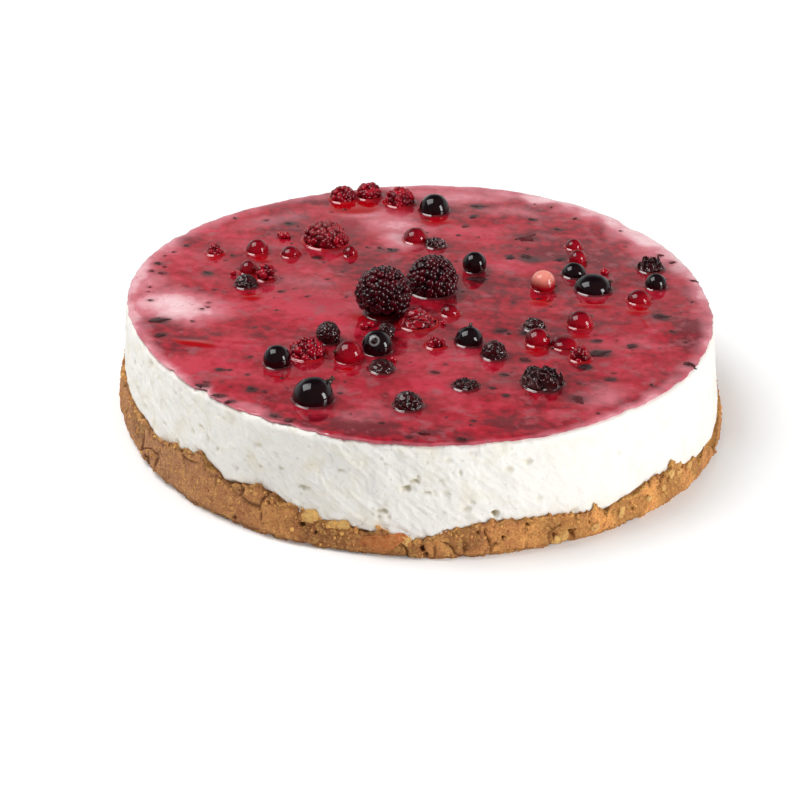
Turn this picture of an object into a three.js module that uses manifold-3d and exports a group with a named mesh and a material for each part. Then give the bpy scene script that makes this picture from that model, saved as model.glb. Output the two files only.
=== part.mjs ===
// Whole cheesecake: a pressed biscuit crumb base, a thick white cheese filling and a skin of red
// berry jelly with loose berries half sunk in it. Millimetres, +Z up. The origin is on the table
// under the middle of the cake, and -Y is the front.

import * as THREE from "three";
import { ConvexHull } from "three/addons/math/ConvexHull.js";
import { mergeVertices } from "three/addons/utils/BufferGeometryUtils.js";
import Module from "manifold-3d";

const wasm = await Module();
wasm.setup();

// Layers
const cakeHeight = 43.5; // table to the surface of the jelly
const rimRadius = 110; // mean radius of the jelly's edge
const footRadius = 113.8; // mean radius of the base on the table
const footShift = 0.8; // how far the foot lies to the right of the top
const footBevel = 2; // rounding where the base meets the table
const crumbHeight = 13.5; // mean height of the base
const jellyEdge = 1.3; // thickness of the jelly that shows at the side
const jellyDepth = 3.6; // thickness of the jelly inside the filling's lip
const ledge = 0.9; // how far the base stands out beyond the filling
const lipRadius = 107.5; // inner edge of the lip that holds the jelly in
const lipSlope = 2.5; // how far in the lip runs down to the dish
const lipEdge = { out: 0.3, drop: 0.7, inset: 0.6 }; // rounding of the filling's upper edge
const jellyRim = { under: 0.4, upper: 0.5, top: 1.6, drop: 0.2, middle: 0.4 }; // rounding of the jelly's edge
const jellyRings = [0.92, 0.7, 0.48, 0.25]; // rings that carry the waves, as parts of the rim radius
const layerGap = 0.3; // clearance between one layer and the next
const roundSteps = 68; // steps round the cake
const weld = 1e-3; // corners closer than this are one

// The ring mould leaves the top out of round: lobes pushed out towards an angle in degrees.
const outOfRound = [
  { lobes: 2, push: 1.6, towards: 63 },
  { lobes: 3, push: 1.4, towards: 54 },
  { lobes: 4, push: 1.1, towards: -18 },
];

// Where the base climbs up the side or dips: angle and spread in degrees, lift in millimetres.
const crustSwells = [
  { towards: 186, spread: 30, lift: 5.3 },
  { towards: 226, spread: 6, lift: 7.2 },
  { towards: 241, spread: 4, lift: 5.7 },
  { towards: 257, spread: 7, lift: -3.5 },
  { towards: 270, spread: 6, lift: -6.7 },
  { towards: 285, spread: 8, lift: 0.9 },
  { towards: 305, spread: 5, lift: -3.1 },
  { towards: 321, spread: 6, lift: 1.3 },
  { towards: 334, spread: 7, lift: -3.9 },
  { towards: 346, spread: 7, lift: -6.2 },
  { towards: 25, spread: 14, lift: 3 },
  { towards: 62, spread: 8, lift: -3.5 },
  { towards: 104, spread: 12, lift: 2.5 },
  { towards: 140, spread: 7, lift: -3 },
];
const swellFrom = 0.75 * rimRadius; // the base lies level as far out as this
const swellFull = 0.97 * rimRadius; // and has its whole swell from here on
const pourDepth = 5; // the filling runs into the deepest dips of the base, down to this height
const cragDepth = 0.9; // crumbly relief at the side of the base
const cragOrders = [7, 13, 22]; // waves of that relief round the cake
const cragHeight = 9; // height over which one crag gives way to the next
const cragFrom = 0.9 * rimRadius; // the relief fades away further in than this
const dragDepth = 0.25; // faint marks that the mould drags down the filling

// Slow waves on the jelly: length and height in millimetres, direction in degrees.
const jellyWaves = [
  { length: 83, height: 0.2, heading: 20 },
  { length: 57, height: 0.15, heading: 105 },
  { length: 39, height: 0.1, heading: 155 },
];
const calmFrom = 0.85 * rimRadius; // the waves die away from here to the rim

// Berries: place of the centre, width, and height of the top above the jelly.
const brambles = [
  { x: -15, y: -12, across: 21, rise: 19.5 },
  { x: 3, y: 10, across: 19.5, rise: 14 },
];
const raspberries = [
  { x: -34, y: 93, across: 9.5, rise: 4.6 },
  { x: -24, y: 97, across: 10, rise: 4.5 },
  { x: -11, y: 91, across: 11.5, rise: 6 },
  { x: -39, y: 51, across: 18.5, rise: 8.5 },
  { x: -41, y: -47, across: 13, rise: 5.5 },
];
const raspberryPieces = [
  { x: -81, y: 36, across: 7.5, rise: 3.6 },
  { x: -60, y: 15, across: 7, rise: 5 },
  { x: -2, y: -19, across: 14, rise: 5.5 },
  { x: 5, y: -37, across: 7.5, rise: 3.6 },
  { x: 57, y: -43, across: 8, rise: 4.7 },
];
const redCurrants = [
  { x: -4, y: 55, across: 9.5, rise: 4.6 },
  { x: -29, y: 39, across: 6, rise: 3.6 },
  { x: -65, y: 39, across: 8.5, rise: 4.5 },
  { x: -52, y: 37, across: 7, rise: 3.3 },
  { x: -67, y: 20, across: 6.5, rise: 4 },
  { x: -26, y: -50, across: 10, rise: 6.5 },
  { x: 10, y: -10, across: 7.5, rise: 3.6 },
  { x: 42, y: -31, across: 9, rise: 4.8 },
  { x: 52, y: -33, across: 10, rise: 2.8 },
  { x: 58, y: -15, across: 9.5, rise: 5 },
  { x: 45, y: 15, across: 9.5, rise: 6.8 },
  { x: 58, y: 53, across: 6.5, rise: 3.4 },
  { x: 59, y: 40, across: 7, rise: 4.6 },
  { x: 81, y: 7, across: 9, rise: 4 },
];
const blackCurrants = [
  { x: 3, y: 84, across: 11.5, rise: 6.5 },
  { x: 19, y: 29, across: 9.5, rise: 6.8 },
  { x: -51, y: -56, across: 9.5, rise: 6.3 },
  { x: -16, y: -43, across: 11, rise: 7.8 },
  { x: -37, y: -82, across: 14, rise: 7.8 },
  { x: 17, y: -33, across: 10, rise: 5.3 },
  { x: 57, y: 28, across: 9, rise: 4.4 },
  { x: 64, y: 16, across: 13.5, rise: 5.5 },
  { x: 88, y: 20, across: 8, rise: 4.6 },
];
const wrinkledBerries = [
  { x: 4, y: 50, across: 7, rise: 2.6 },
  { x: -67, y: 8, across: 9, rise: 3.9 },
  { x: -34, y: -36, across: 10, rise: 7.2 },
  { x: -13, y: -33, across: 6.5, rise: 6.4 },
  { x: -14, y: -57, across: 10.5, rise: 3 },
  { x: -4, y: -84, across: 10.5, rise: 5.2 },
  { x: 26, y: -43, across: 10.5, rise: 5.2 },
  { x: 16, y: -68, across: 9.5, rise: 2.4 },
  { x: 41, y: -19, across: 9.5, rise: 3.2 },
  { x: 87, y: 36, across: 11.5, rise: 4.1 },
  { x: 43, y: -63, across: 17, rise: 5.1 },
];
const berrySink = 1.8; // depth below the jelly's surface at which a berry is flat underneath
const leastSink = 1; // a berry that stands high still reaches this far into the jelly
const socketGap = 0.4; // clearance between a berry and its socket in the jelly
const socketSides = 8;
const berrySides = 12;
const berrySteps = 4; // steps up the side of a smooth berry
const leastFlat = 0.98; // how near its lowest point a smooth berry is cut flat, as a part of its half height

// Drupelets are the beads that brambles and raspberries are made of.
const drupeletAcross = 5.8; // width of one bead
const drupeletBulge = 0.17; // how far a bead stands out, as a part of the berry's radius
const fewestDrupelets = 10;
const shoulderPart = 0.62; // the shoulder of a bead, on the way from its crown to its corner
const shoulderDrop = 0.25; // and how far it lies down towards the valley
const beadLean = 0.5; // turns the two ends of the spiral of beads out of sight

// Dried flower ends on the black currants
const flowerEnd = { length: 1.8, base: 1.5, tip: 1.1, sides: 6, lean: 0.8, stand: 0.1 };

// Folds of a shrunken berry: depth as a part of its radius, and two sets of waves that cross.
const wrinkleDepth = 0.16;
const wrinkleWaves = { round: 3, climb: 4, crossRound: 5, crossClimb: 3 };

const goldenAngle = Math.PI * (3 - Math.sqrt(5));

function material(color, roughness) {
  return new THREE.MeshStandardMaterial({ color, roughness, metalness: 0 });
}

const crumb = material(0xb07d49, 0.9);
const cheese = material(0xf4f2ec, 0.55);
const jelly = material(0xa93a4e, 0.15);
const brambleSkin = material(0x2a0d16, 0.35);
const raspberrySkin = material(0x8c1226, 0.4);
const redSkin = material(0xb3101f, 0.2);
const blackSkin = material(0x14101a, 0.2);
const shrunkenSkin = material(0x241019, 0.45);

// How far the outline stands out of the true circle: lobes at the top, a shift at the foot.
function bulgeAt(angle, height) {
  let push = 0;
  for (const lobe of outOfRound) {
    const towards = THREE.MathUtils.degToRad(lobe.towards);
    push += lobe.push * Math.cos(lobe.lobes * (angle - towards));
  }
  return THREE.MathUtils.lerp(footShift * Math.cos(angle), push, height / cakeHeight);
}

// Mean radius of the side, which leans in a little towards the top.
function wallAt(height) {
  return THREE.MathUtils.lerp(footRadius, rimRadius, height / cakeHeight);
}

// Height of the base at its outer edge, above or below the mean.
function swellAt(angle) {
  let lift = 0;
  for (const swell of crustSwells) {
    const away = angle - THREE.MathUtils.degToRad(swell.towards);
    const turn = Math.atan2(Math.sin(away), Math.cos(away));
    const spread = THREE.MathUtils.degToRad(swell.spread);
    lift += swell.lift * Math.exp(-((turn / spread) ** 2));
  }
  return lift;
}

// Inside the cake the base lies level: the swells belong to its edge.
function baseTopAt(angle, radius) {
  const edge = THREE.MathUtils.smoothstep(radius, swellFrom, swellFull);
  return crumbHeight + edge * swellAt(angle);
}

// Uneven waves round the cake that change with height, from -1 to 1.
function ripple(angle, height) {
  let sum = 0;
  for (const order of cragOrders) {
    sum += Math.sin(order * (angle + goldenAngle) + (order * height) / cragHeight);
  }
  return sum / cragOrders.length;
}

// Relief of the crumb side: it stands out, and fades away inside the cake.
function cragAt(angle, radius, height) {
  const edge = THREE.MathUtils.smoothstep(radius, cragFrom, rimRadius);
  return edge * cragDepth * (0.5 + 0.5 * ripple(angle, height));
}

function jellyTopAt(x, y) {
  let height = cakeHeight;
  for (const wave of jellyWaves) {
    const heading = THREE.MathUtils.degToRad(wave.heading);
    const along = x * Math.cos(heading) + y * Math.sin(heading);
    height += wave.height * Math.sin((2 * Math.PI * along) / wave.length);
  }
  return height;
}

// A turned body whose radius and height are then moved by a rule for each angle.
function turnedLayer(profile, move) {
  const points = profile.map(([radius, height]) => new THREE.Vector2(radius, height));
  const geometry = new THREE.LatheGeometry(points, roundSteps);
  geometry.rotateX(Math.PI / 2);
  geometry.deleteAttribute("normal");
  geometry.deleteAttribute("uv");
  const merged = mergeVertices(geometry, weld);
  const place = merged.attributes.position;
  for (let i = 0; i < place.count; i += 1) {
    const radius = Math.hypot(place.getX(i), place.getY(i));
    const angle = Math.atan2(place.getY(i), place.getX(i));
    const [newRadius, newHeight] = move(radius, place.getZ(i), angle);
    place.setXYZ(i, newRadius * Math.cos(angle), newRadius * Math.sin(angle), newHeight);
  }
  return merged;
}

function makeBase() {
  const profile = [
    [0, 0],
    [wallAt(0) - footBevel, 0],
    [wallAt(footBevel), footBevel],
    [wallAt(0.5 * crumbHeight), 0.5 * crumbHeight],
    [wallAt(crumbHeight - footBevel), crumbHeight - footBevel],
    [wallAt(crumbHeight) - footBevel, crumbHeight],
    [cragFrom, crumbHeight],
    [swellFrom, crumbHeight],
    [0, crumbHeight],
  ];
  return turnedLayer(profile, (radius, height, angle) => {
    const newHeight = (height * baseTopAt(angle, radius)) / crumbHeight;
    const outline = bulgeAt(angle, newHeight) * (radius / rimRadius);
    return [radius + outline + cragAt(angle, radius, height), newHeight];
  });
}

const lipHeight = cakeHeight - jellyEdge - layerGap;
const dishHeight = cakeHeight - jellyDepth - layerGap;

// The filling is poured onto the base, so the base's own top shapes it underneath.
function makeFilling(base) {
  const side = [pourDepth, 0.5 * cakeHeight, 0.75 * cakeHeight];
  const profile = [
    [0, pourDepth],
    ...side.map((height) => [wallAt(height) - (ledge * (cakeHeight - height)) / cakeHeight, height]),
    [rimRadius + lipEdge.out, lipHeight - lipEdge.drop],
    [rimRadius - lipEdge.inset, lipHeight],
    [lipRadius, lipHeight],
    [lipRadius - lipSlope, dishHeight],
    [0, dishHeight],
  ];
  const poured = turnedLayer(profile, (radius, height, angle) => {
    const edge = THREE.MathUtils.smoothstep(radius, lipRadius, rimRadius);
    const outline = bulgeAt(angle, height) * (radius / rimRadius);
    return [radius + outline + edge * dragDepth * ripple(angle, height), height];
  });
  const below = base.clone().translate(0, 0, layerGap);
  return geometryFrom(solidFrom(poured).subtract(solidFrom(below)));
}

function makeJelly() {
  const floor = dishHeight + layerGap;
  const underEdge = lipHeight + layerGap;
  const topRings = jellyRings.map((part) => [part * rimRadius, cakeHeight]);
  const profile = [
    [0, floor],
    [lipRadius - lipSlope - layerGap, floor],
    [lipRadius - layerGap, underEdge],
    [rimRadius - jellyRim.under, underEdge],
    [rimRadius, underEdge + jellyRim.middle * jellyEdge],
    [rimRadius - jellyRim.upper, cakeHeight - jellyRim.drop],
    [rimRadius - jellyRim.top, cakeHeight],
    ...topRings,
    [0, cakeHeight],
  ];
  return turnedLayer(profile, (radius, height, angle) => {
    const newRadius = radius + bulgeAt(angle, height) * (radius / rimRadius);
    const wave = jellyTopAt(newRadius * Math.cos(angle), newRadius * Math.sin(angle)) - cakeHeight;
    const inside = 1 - THREE.MathUtils.smoothstep(radius, calmFrom, rimRadius);
    return [newRadius, height === cakeHeight ? height + wave * inside : height];
  });
}

function solidFrom(geometry) {
  const bare = new THREE.BufferGeometry();
  const source = geometry.index ? geometry.toNonIndexed() : geometry;
  bare.setAttribute("position", source.getAttribute("position"));
  const merged = mergeVertices(bare, weld);
  const mesh = new wasm.Mesh({
    numProp: 3,
    vertProperties: merged.attributes.position.array,
    triVerts: merged.index.array,
  });
  return new wasm.Manifold(mesh);
}

function geometryFrom(solid) {
  const mesh = solid.getMesh();
  const geometry = new THREE.BufferGeometry();
  geometry.setAttribute("position", new THREE.BufferAttribute(mesh.vertProperties, mesh.numProp));
  geometry.setIndex(new THREE.BufferAttribute(mesh.triVerts, 1));
  return geometry;
}

// Evenly spread directions on a ball, along a spiral.
function spiralDirections(count) {
  return Array.from({ length: count }, (_, i) => {
    const height = 1 - (2 * i + 1) / count;
    const reach = Math.sqrt(1 - height * height);
    const angle = i * goldenAngle;
    return new THREE.Vector3(reach * Math.cos(angle), reach * Math.sin(angle), height);
  });
}

// The corners where three neighbouring beads meet, listed in order round each bead.
function beadCorners(centres) {
  const hull = new ConvexHull().setFromPoints(centres);
  const corners = centres.map(() => []);
  for (const face of hull.faces) {
    const around = [0, 1, 2].map((i) => face.getEdge(i).head().point);
    const middle = new THREE.Vector3();
    around.forEach((point) => middle.add(point));
    middle.normalize();
    around.forEach((point) => corners[centres.indexOf(point)].push(middle));
  }
  return corners.map((list, i) => {
    const out = centres[i];
    const first = list[0].clone().projectOnPlane(out);
    const side = new THREE.Vector3().crossVectors(out, first);
    const turn = (corner) => Math.atan2(corner.dot(side), corner.dot(first));
    return list.sort((a, b) => turn(a) - turn(b));
  });
}

// A berry of beads: each has a crown, a shoulder ring and the valley that it shares.
function beadedBerry({ halfWidth, halfHeight, floor, turn }) {
  const beadArea = (Math.sqrt(3) / 2) * drupeletAcross ** 2;
  const count = Math.max(fewestDrupelets, Math.round((4 * Math.PI * halfWidth ** 2) / beadArea));
  const centres = spiralDirections(count);
  const triangles = [];
  beadCorners(centres).forEach((corners, i) => {
    const crown = centres[i].clone();
    const shoulders = corners.map((corner) => centres[i].clone().lerp(corner, shoulderPart).normalize());
    shoulders.forEach((shoulder) => shoulder.multiplyScalar(1 - shoulderDrop * drupeletBulge));
    corners.forEach((corner, k) => {
      const next = (k + 1) % corners.length;
      const valley = corner.clone().multiplyScalar(1 - drupeletBulge);
      const nextValley = corners[next].clone().multiplyScalar(1 - drupeletBulge);
      triangles.push(crown, shoulders[k], shoulders[next]);
      triangles.push(shoulders[k], valley, nextValley);
      triangles.push(shoulders[k], nextValley, shoulders[next]);
    });
  });
  const whole = new THREE.BufferGeometry().setFromPoints(triangles);
  whole.rotateX(beadLean);
  whole.rotateZ(turn);
  whole.scale(halfWidth, halfWidth, halfHeight);

  const room = 4 * halfWidth;
  const above = new THREE.BoxGeometry(room, room, room);
  above.translate(0, 0, room / 2 + floor);
  return geometryFrom(solidFrom(whole).intersect(solidFrom(above)));
}

// A smooth berry, flat underneath.
function smoothBerry({ halfWidth, halfHeight, floor, turn }) {
  const lowest = Math.asin(Math.max(-leastFlat, floor / halfHeight));
  const profile = [new THREE.Vector2(0, halfHeight * Math.sin(lowest))];
  for (let i = 0; i < berrySteps; i += 1) {
    const climb = THREE.MathUtils.lerp(lowest, Math.PI / 2, i / berrySteps);
    profile.push(new THREE.Vector2(halfWidth * Math.cos(climb), halfHeight * Math.sin(climb)));
  }
  profile.push(new THREE.Vector2(0, halfHeight));
  const geometry = new THREE.LatheGeometry(profile, berrySides);
  geometry.rotateX(Math.PI / 2);
  geometry.rotateZ(turn);
  return geometry;
}

// A smooth berry with a dried flower end that leans out at its own angle.
function floweredBerry(form) {
  const { length, base, tip, sides, lean, stand } = flowerEnd;
  const end = new THREE.CylinderGeometry(tip, base, length, sides);
  end.rotateX(Math.PI / 2);
  end.translate(0, 0, form.halfHeight + stand * length);
  end.rotateX(lean);
  end.rotateZ(form.turn);
  return geometryFrom(solidFrom(smoothBerry(form)).add(solidFrom(end)));
}

// A shrunken berry whose skin has fallen into folds.
function wrinkledBerry(form) {
  const geometry = smoothBerry(form);
  const place = geometry.attributes.position;
  const { min, max } = new THREE.Box3().setFromBufferAttribute(place);
  const { round, climb: upward, crossRound, crossClimb } = wrinkleWaves;
  for (let i = 0; i < place.count; i += 1) {
    const angle = Math.atan2(place.getY(i), place.getX(i)) - form.turn;
    const climb = (place.getZ(i) - min.z) / (max.z - min.z);
    const wave = Math.sin(round * angle + upward * climb);
    const fold = wave * Math.cos(crossRound * angle - crossClimb * climb);
    const radius = 1 - wrinkleDepth * (0.5 + 0.5 * fold);
    const height = climb * (1 - wrinkleDepth * fold);
    place.setX(i, place.getX(i) * radius);
    place.setY(i, place.getY(i) * radius);
    place.setZ(i, THREE.MathUtils.lerp(min.z, max.z, height));
  }
  return geometry;
}

const kinds = [
  { name: "bramble", berries: brambles, skin: brambleSkin, tall: 1, make: beadedBerry },
  { name: "raspberry", berries: raspberries, skin: raspberrySkin, tall: 0.9, make: beadedBerry },
  { name: "raspberry_piece", berries: raspberryPieces, skin: raspberrySkin, tall: 0.8, make: beadedBerry },
  { name: "red_currant", berries: redCurrants, skin: redSkin, tall: 1, make: smoothBerry },
  { name: "black_currant", berries: blackCurrants, skin: blackSkin, tall: 1, make: floweredBerry },
  { name: "wrinkled_berry", berries: wrinkledBerries, skin: shrunkenSkin, tall: 0.6, make: wrinkledBerry },
];

// Sizes of one berry about its own centre: the centre stands above the jelly, the floor is its flat.
function formOf(kind, berry, index) {
  const halfWidth = berry.across / 2;
  const halfHeight = Math.max(kind.tall * halfWidth, (berry.rise + leastSink) / 2);
  const stand = berry.rise - halfHeight;
  return { halfWidth, halfHeight, stand, floor: -stand - berrySink, turn: index * goldenAngle };
}

// The well that a berry needs in the jelly, as wide as the berry where it passes the surface.
function socketFor(form, place) {
  const atSurface = Math.max(0, form.stand - socketGap) / form.halfHeight;
  const widest = form.halfWidth * Math.sqrt(1 - atSurface ** 2);
  const radius = (widest + socketGap) / Math.cos(Math.PI / socketSides);
  const bottom = place.z + Math.max(form.floor, -form.halfHeight) - socketGap;
  const depth = cakeHeight + berrySink - bottom;
  const socket = new THREE.CylinderGeometry(radius, radius, depth, socketSides);
  socket.rotateX(Math.PI / 2);
  socket.translate(place.x, place.y, bottom + depth / 2);
  return solidFrom(socket);
}

const cake = new THREE.Group();

function addMesh(name, geometry, skin) {
  const mesh = new THREE.Mesh(geometry, skin);
  mesh.name = name;
  cake.add(mesh);
  return mesh;
}

const base = makeBase();
addMesh("base", base, crumb);
addMesh("filling", makeFilling(base), cheese);

let jellySolid = solidFrom(makeJelly());
for (const kind of kinds) {
  kind.berries.forEach((berry, index) => {
    const form = formOf(kind, berry, index);
    const mesh = addMesh(`${kind.name}_${index + 1}`, kind.make(form), kind.skin);
    mesh.position.set(berry.x, berry.y, jellyTopAt(berry.x, berry.y) + form.stand);
    jellySolid = jellySolid.subtract(socketFor(form, mesh.position));
  });
}
addMesh("jelly", geometryFrom(jellySolid), jelly);

export default cake;
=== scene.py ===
import math
import random

import bpy
import numpy as np
from mathutils import Euler, Matrix, Vector, kdtree, noise
from mathutils.bvhtree import BVHTree


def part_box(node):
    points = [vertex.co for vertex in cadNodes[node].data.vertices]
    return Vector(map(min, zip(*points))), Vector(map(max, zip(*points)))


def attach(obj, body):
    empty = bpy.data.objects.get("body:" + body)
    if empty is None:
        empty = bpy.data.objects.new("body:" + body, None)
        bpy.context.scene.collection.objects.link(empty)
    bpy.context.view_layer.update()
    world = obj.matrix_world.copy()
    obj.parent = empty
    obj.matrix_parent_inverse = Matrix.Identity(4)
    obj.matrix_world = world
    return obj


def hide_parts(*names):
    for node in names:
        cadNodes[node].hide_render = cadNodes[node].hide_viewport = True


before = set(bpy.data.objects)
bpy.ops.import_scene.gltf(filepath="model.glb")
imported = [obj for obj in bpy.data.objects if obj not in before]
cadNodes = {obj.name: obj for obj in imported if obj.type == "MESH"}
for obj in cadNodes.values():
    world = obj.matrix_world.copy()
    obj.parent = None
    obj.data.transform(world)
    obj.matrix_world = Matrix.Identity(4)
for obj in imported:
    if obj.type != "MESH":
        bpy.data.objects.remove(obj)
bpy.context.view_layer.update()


# small tools for modelling

def clearSelection():
    bpy.ops.object.select_all(action="DESELECT")


def pick(piece):
    clearSelection()
    piece.select_set(True)
    bpy.context.view_layer.objects.active = piece


def applyPlace(piece):
    pick(piece)
    bpy.ops.object.transform_apply(location=True, rotation=True, scale=True)


def editWith(piece, mode, test):
    # opens edit mode with the faces or edges that pass the test selected
    pick(piece)
    bpy.ops.object.mode_set(mode="EDIT")
    bpy.ops.mesh.select_mode(type=mode)
    bpy.ops.mesh.select_all(action="DESELECT")
    bpy.ops.object.mode_set(mode="OBJECT")
    for part in piece.data.polygons if mode == "FACE" else piece.data.edges:
        part.select = test(part)
    bpy.ops.object.mode_set(mode="EDIT")


def leaveEdit():
    bpy.ops.object.mode_set(mode="OBJECT")


def readPlaces(piece):
    flat = np.empty(len(piece.data.vertices) * 3)
    piece.data.vertices.foreach_get("co", flat)
    return flat.reshape(-1, 3)


def writePlaces(piece, places):
    piece.data.vertices.foreach_set("co", np.ascontiguousarray(places).ravel())
    piece.data.update()


def readNormals(piece):
    flat = np.empty(len(piece.data.vertices) * 3, dtype=np.float32)
    piece.data.vertex_normals.foreach_get("vector", flat)
    return flat.reshape(-1, 3).astype(float)


def paint(piece, name, amounts):
    # one number a vertex, which a material reads by name
    layer = piece.data.attributes.get(name) or piece.data.attributes.new(name, "FLOAT", "POINT")
    values = np.zeros(len(piece.data.vertices), dtype=np.float32)
    values[:] = np.clip(amounts, 0, 1)
    layer.data.foreach_set("value", values)


def paintAll(piece, **layers):
    for name, amounts in layers.items():
        paint(piece, name, amounts)


def readPaint(piece, name):
    amounts = np.zeros(len(piece.data.vertices), dtype=np.float32)
    layer = piece.data.attributes.get(name)
    if layer:
        layer.data.foreach_get("value", amounts)
    return amounts


def lumps(places, size, shift=0.0):
    # smooth hills of about that size, from -1 to 1
    return np.array([noise.noise(Vector(place)) for place in places / size + shift])


def smoothStep(low, high, values):
    part = np.clip((values - low) / (high - low), 0, 1)
    return part * part * (3 - 2 * part)


def pointTree(places):
    tree = kdtree.KDTree(len(places))
    for index, place in enumerate(places):
        tree.insert(place, index)
    tree.balance()
    return tree


def nearestTwo(seeds, places):
    # for each place: the nearest seed, how far it is, and how far the next one is
    tree = pointTree(seeds)
    found = [tree.find_n(place, 2) for place in places]
    owner = np.array([pair[0][1] for pair in found])
    first = np.array([pair[0][2] for pair in found])
    second = np.array([pair[1][2] for pair in found])
    return owner, first, second


def anyDirection(chance):
    return Vector([chance.gauss(0, 1) for axis in "xyz"])


def breakOff(chance, cuts, nearest, furthest):
    # flat sides cut off the piece that is open in edit mode
    for cut in range(cuts):
        side = anyDirection(chance).normalized()
        bpy.ops.mesh.select_all(action="SELECT")
        bpy.ops.mesh.bisect(plane_co=side * chance.uniform(nearest, furthest), plane_no=side,
                            use_fill=True, clear_outer=True)


def joinCopies(copies):
    clearSelection()
    for copy in copies:
        copy.select_set(True)
    bpy.context.view_layer.objects.active = copies[0]
    bpy.ops.object.join()
    return copies[0]


def copyOf(model, matrix):
    copy = model.copy()
    copy.data = model.data.copy()
    copy.data.transform(matrix)
    copy.matrix_world = Matrix.Identity(4)
    bpy.context.collection.objects.link(copy)
    return copy


def removeModels(models):
    for model in models:
        bpy.data.objects.remove(model, do_unlink=True)


def keepPiece(piece, name, material, replaced=()):
    piece.name = name
    piece.data.name = name
    piece.data.materials.clear()
    piece.data.materials.append(material)
    pick(piece)
    bpy.ops.object.shade_smooth()
    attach(piece, "root")
    if replaced:
        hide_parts(*replaced)
    return piece


# sums on shader sockets

class Shade:
    def __init__(self, tree, socket=None):
        self.tree = tree
        self.socket = socket

    def node(self, kind, settings, sockets, output=0):
        made = self.tree.nodes.new(kind)
        for name, value in settings.items():
            setattr(made, name, value)
        for key, value in sockets.items():
            if isinstance(value, Shade):
                self.tree.links.new(value.socket, made.inputs[key])
            else:
                made.inputs[key].default_value = value
        return Shade(self.tree, made.outputs[output])

    def maths(self, operation, first, second=0.0):
        return self.node("ShaderNodeMath", {"operation": operation}, {0: first, 1: second})

    def __add__(self, other):
        return self.maths("ADD", self, other)

    def __radd__(self, other):
        return self.maths("ADD", other, self)

    def __sub__(self, other):
        return self.maths("SUBTRACT", self, other)

    def __rsub__(self, other):
        return self.maths("SUBTRACT", other, self)

    def __mul__(self, other):
        return self.maths("MULTIPLY", self, other)

    def __rmul__(self, other):
        return self.maths("MULTIPLY", other, self)

    def clipped(self):
        return self.node("ShaderNodeClamp", {}, {0: self})

    def between(self, low, high):
        # 0 below low, 1 above high, smooth in between
        return self.node("ShaderNodeMapRange", {"interpolation_type": "SMOOTHSTEP"},
                         {"Value": self, "From Min": low, "From Max": high})

    def mixed(self, first, second):
        # this number chooses between two colours
        return self.node("ShaderNodeMix", {"data_type": "RGBA"},
                         {0: self, 6: first, 7: second}, output=2)

    def attribute(self, name):
        return self.node("ShaderNodeAttribute", {"attribute_name": name}, {}, output="Fac")

    def place(self, stretch=(1, 1, 1)):
        coordinates = self.node("ShaderNodeTexCoord", {}, {}, output="Object")
        return self.node("ShaderNodeMapping", {}, {"Vector": coordinates, "Scale": stretch})

    def grain(self, size, detail=3.0, stretch=(1, 1, 1), rough=0.55):
        # cloudy noise of about that size in metres
        return self.node("ShaderNodeTexNoise", {}, {
            "Vector": self.place(stretch), "Scale": 1 / size, "Detail": detail, "Roughness": rough})

    def bump(self, height, depth, below=None):
        sockets = {"Height": height, "Strength": 1.0, "Distance": depth}
        if below:
            sockets["Normal"] = below
        return self.node("ShaderNodeBump", {}, sockets)


def tint(red, green, blue):
    # a colour as a picture gives it, 0 to 255, made linear for the shader
    def linear(value):
        part = value / 255
        return part / 12.92 if part <= 0.04045 else ((part + 0.055) / 1.055) ** 2.4
    return (linear(red), linear(green), linear(blue), 1.0)


def newMaterial(name, fixed):
    material = bpy.data.materials.new(name)
    material.use_nodes = True
    shader = material.node_tree.nodes["Principled BSDF"]
    for socket, value in fixed.items():
        shader.inputs[socket].default_value = value
    return material, Shade(material.node_tree), shader


def feed(sheet, shader, links):
    for socket, value in links.items():
        sheet.tree.links.new(value.socket, shader.inputs[socket])


# camera, light and floor
studio = {
    "cameraPlace": (0.0, -0.8928, 0.4724),
    "cameraTurn": (62.171, -1.678, 1.370),      # degrees
    "cameraLens": 119.13,
    "floorSize": 8.0,
    "floorDrop": 0.0002,
    "keyPlace": (-0.62, 0.06, 1.05),            # a broad soft box overhead, to the left
    "keySize": (0.9, 0.8),
    "keyPower": 13.0,
    "sidePlace": (0.98, -0.50, 0.42),           # a tall one low down on the right
    "sideSize": (0.34, 0.62),
    "sidePower": 8.5,
    "fillPlace": (0.25, -1.35, 0.80),           # a weak one in front, kept out of the gloss
    "fillSize": (1.2, 0.9),
    "fillPower": 2.5,
    "skyDim": 0.14,
    "skyBright": 0.72,
    "floorGlow": (0.13, 0.40),     # near the cake and behind it
}


def addSoftBox(name, place, size, power):
    bpy.ops.object.light_add(type="AREA", location=place)
    box = bpy.context.object
    box.name = name
    box.data.shape = "RECTANGLE"
    box.data.size, box.data.size_y = size
    box.data.energy = power
    box.rotation_euler = Vector(place).to_track_quat("Z", "Y").to_euler()
    return box


def setSky():
    # white paper behind and low down, a dimmer room above and in front
    world = bpy.data.worlds.new("studio")
    bpy.context.scene.world = world
    world.use_nodes = True
    sheet = Shade(world.node_tree)
    direction = sheet.node("ShaderNodeTexCoord", {}, {}, output="Generated")
    split = sheet.node("ShaderNodeSeparateXYZ", {}, {0: direction}, output="Y")
    height = Shade(world.node_tree, split.socket.node.outputs["Z"])
    behind = split.between(-0.25, 0.45)
    low = 1 - height.between(0.36, 0.58)
    strength = studio["skyDim"] + behind * low * (studio["skyBright"] - studio["skyDim"])
    background = world.node_tree.nodes["Background"]
    background.inputs["Color"].default_value = (1, 1, 1, 1)
    world.node_tree.links.new(strength.socket, background.inputs["Strength"])


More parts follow.
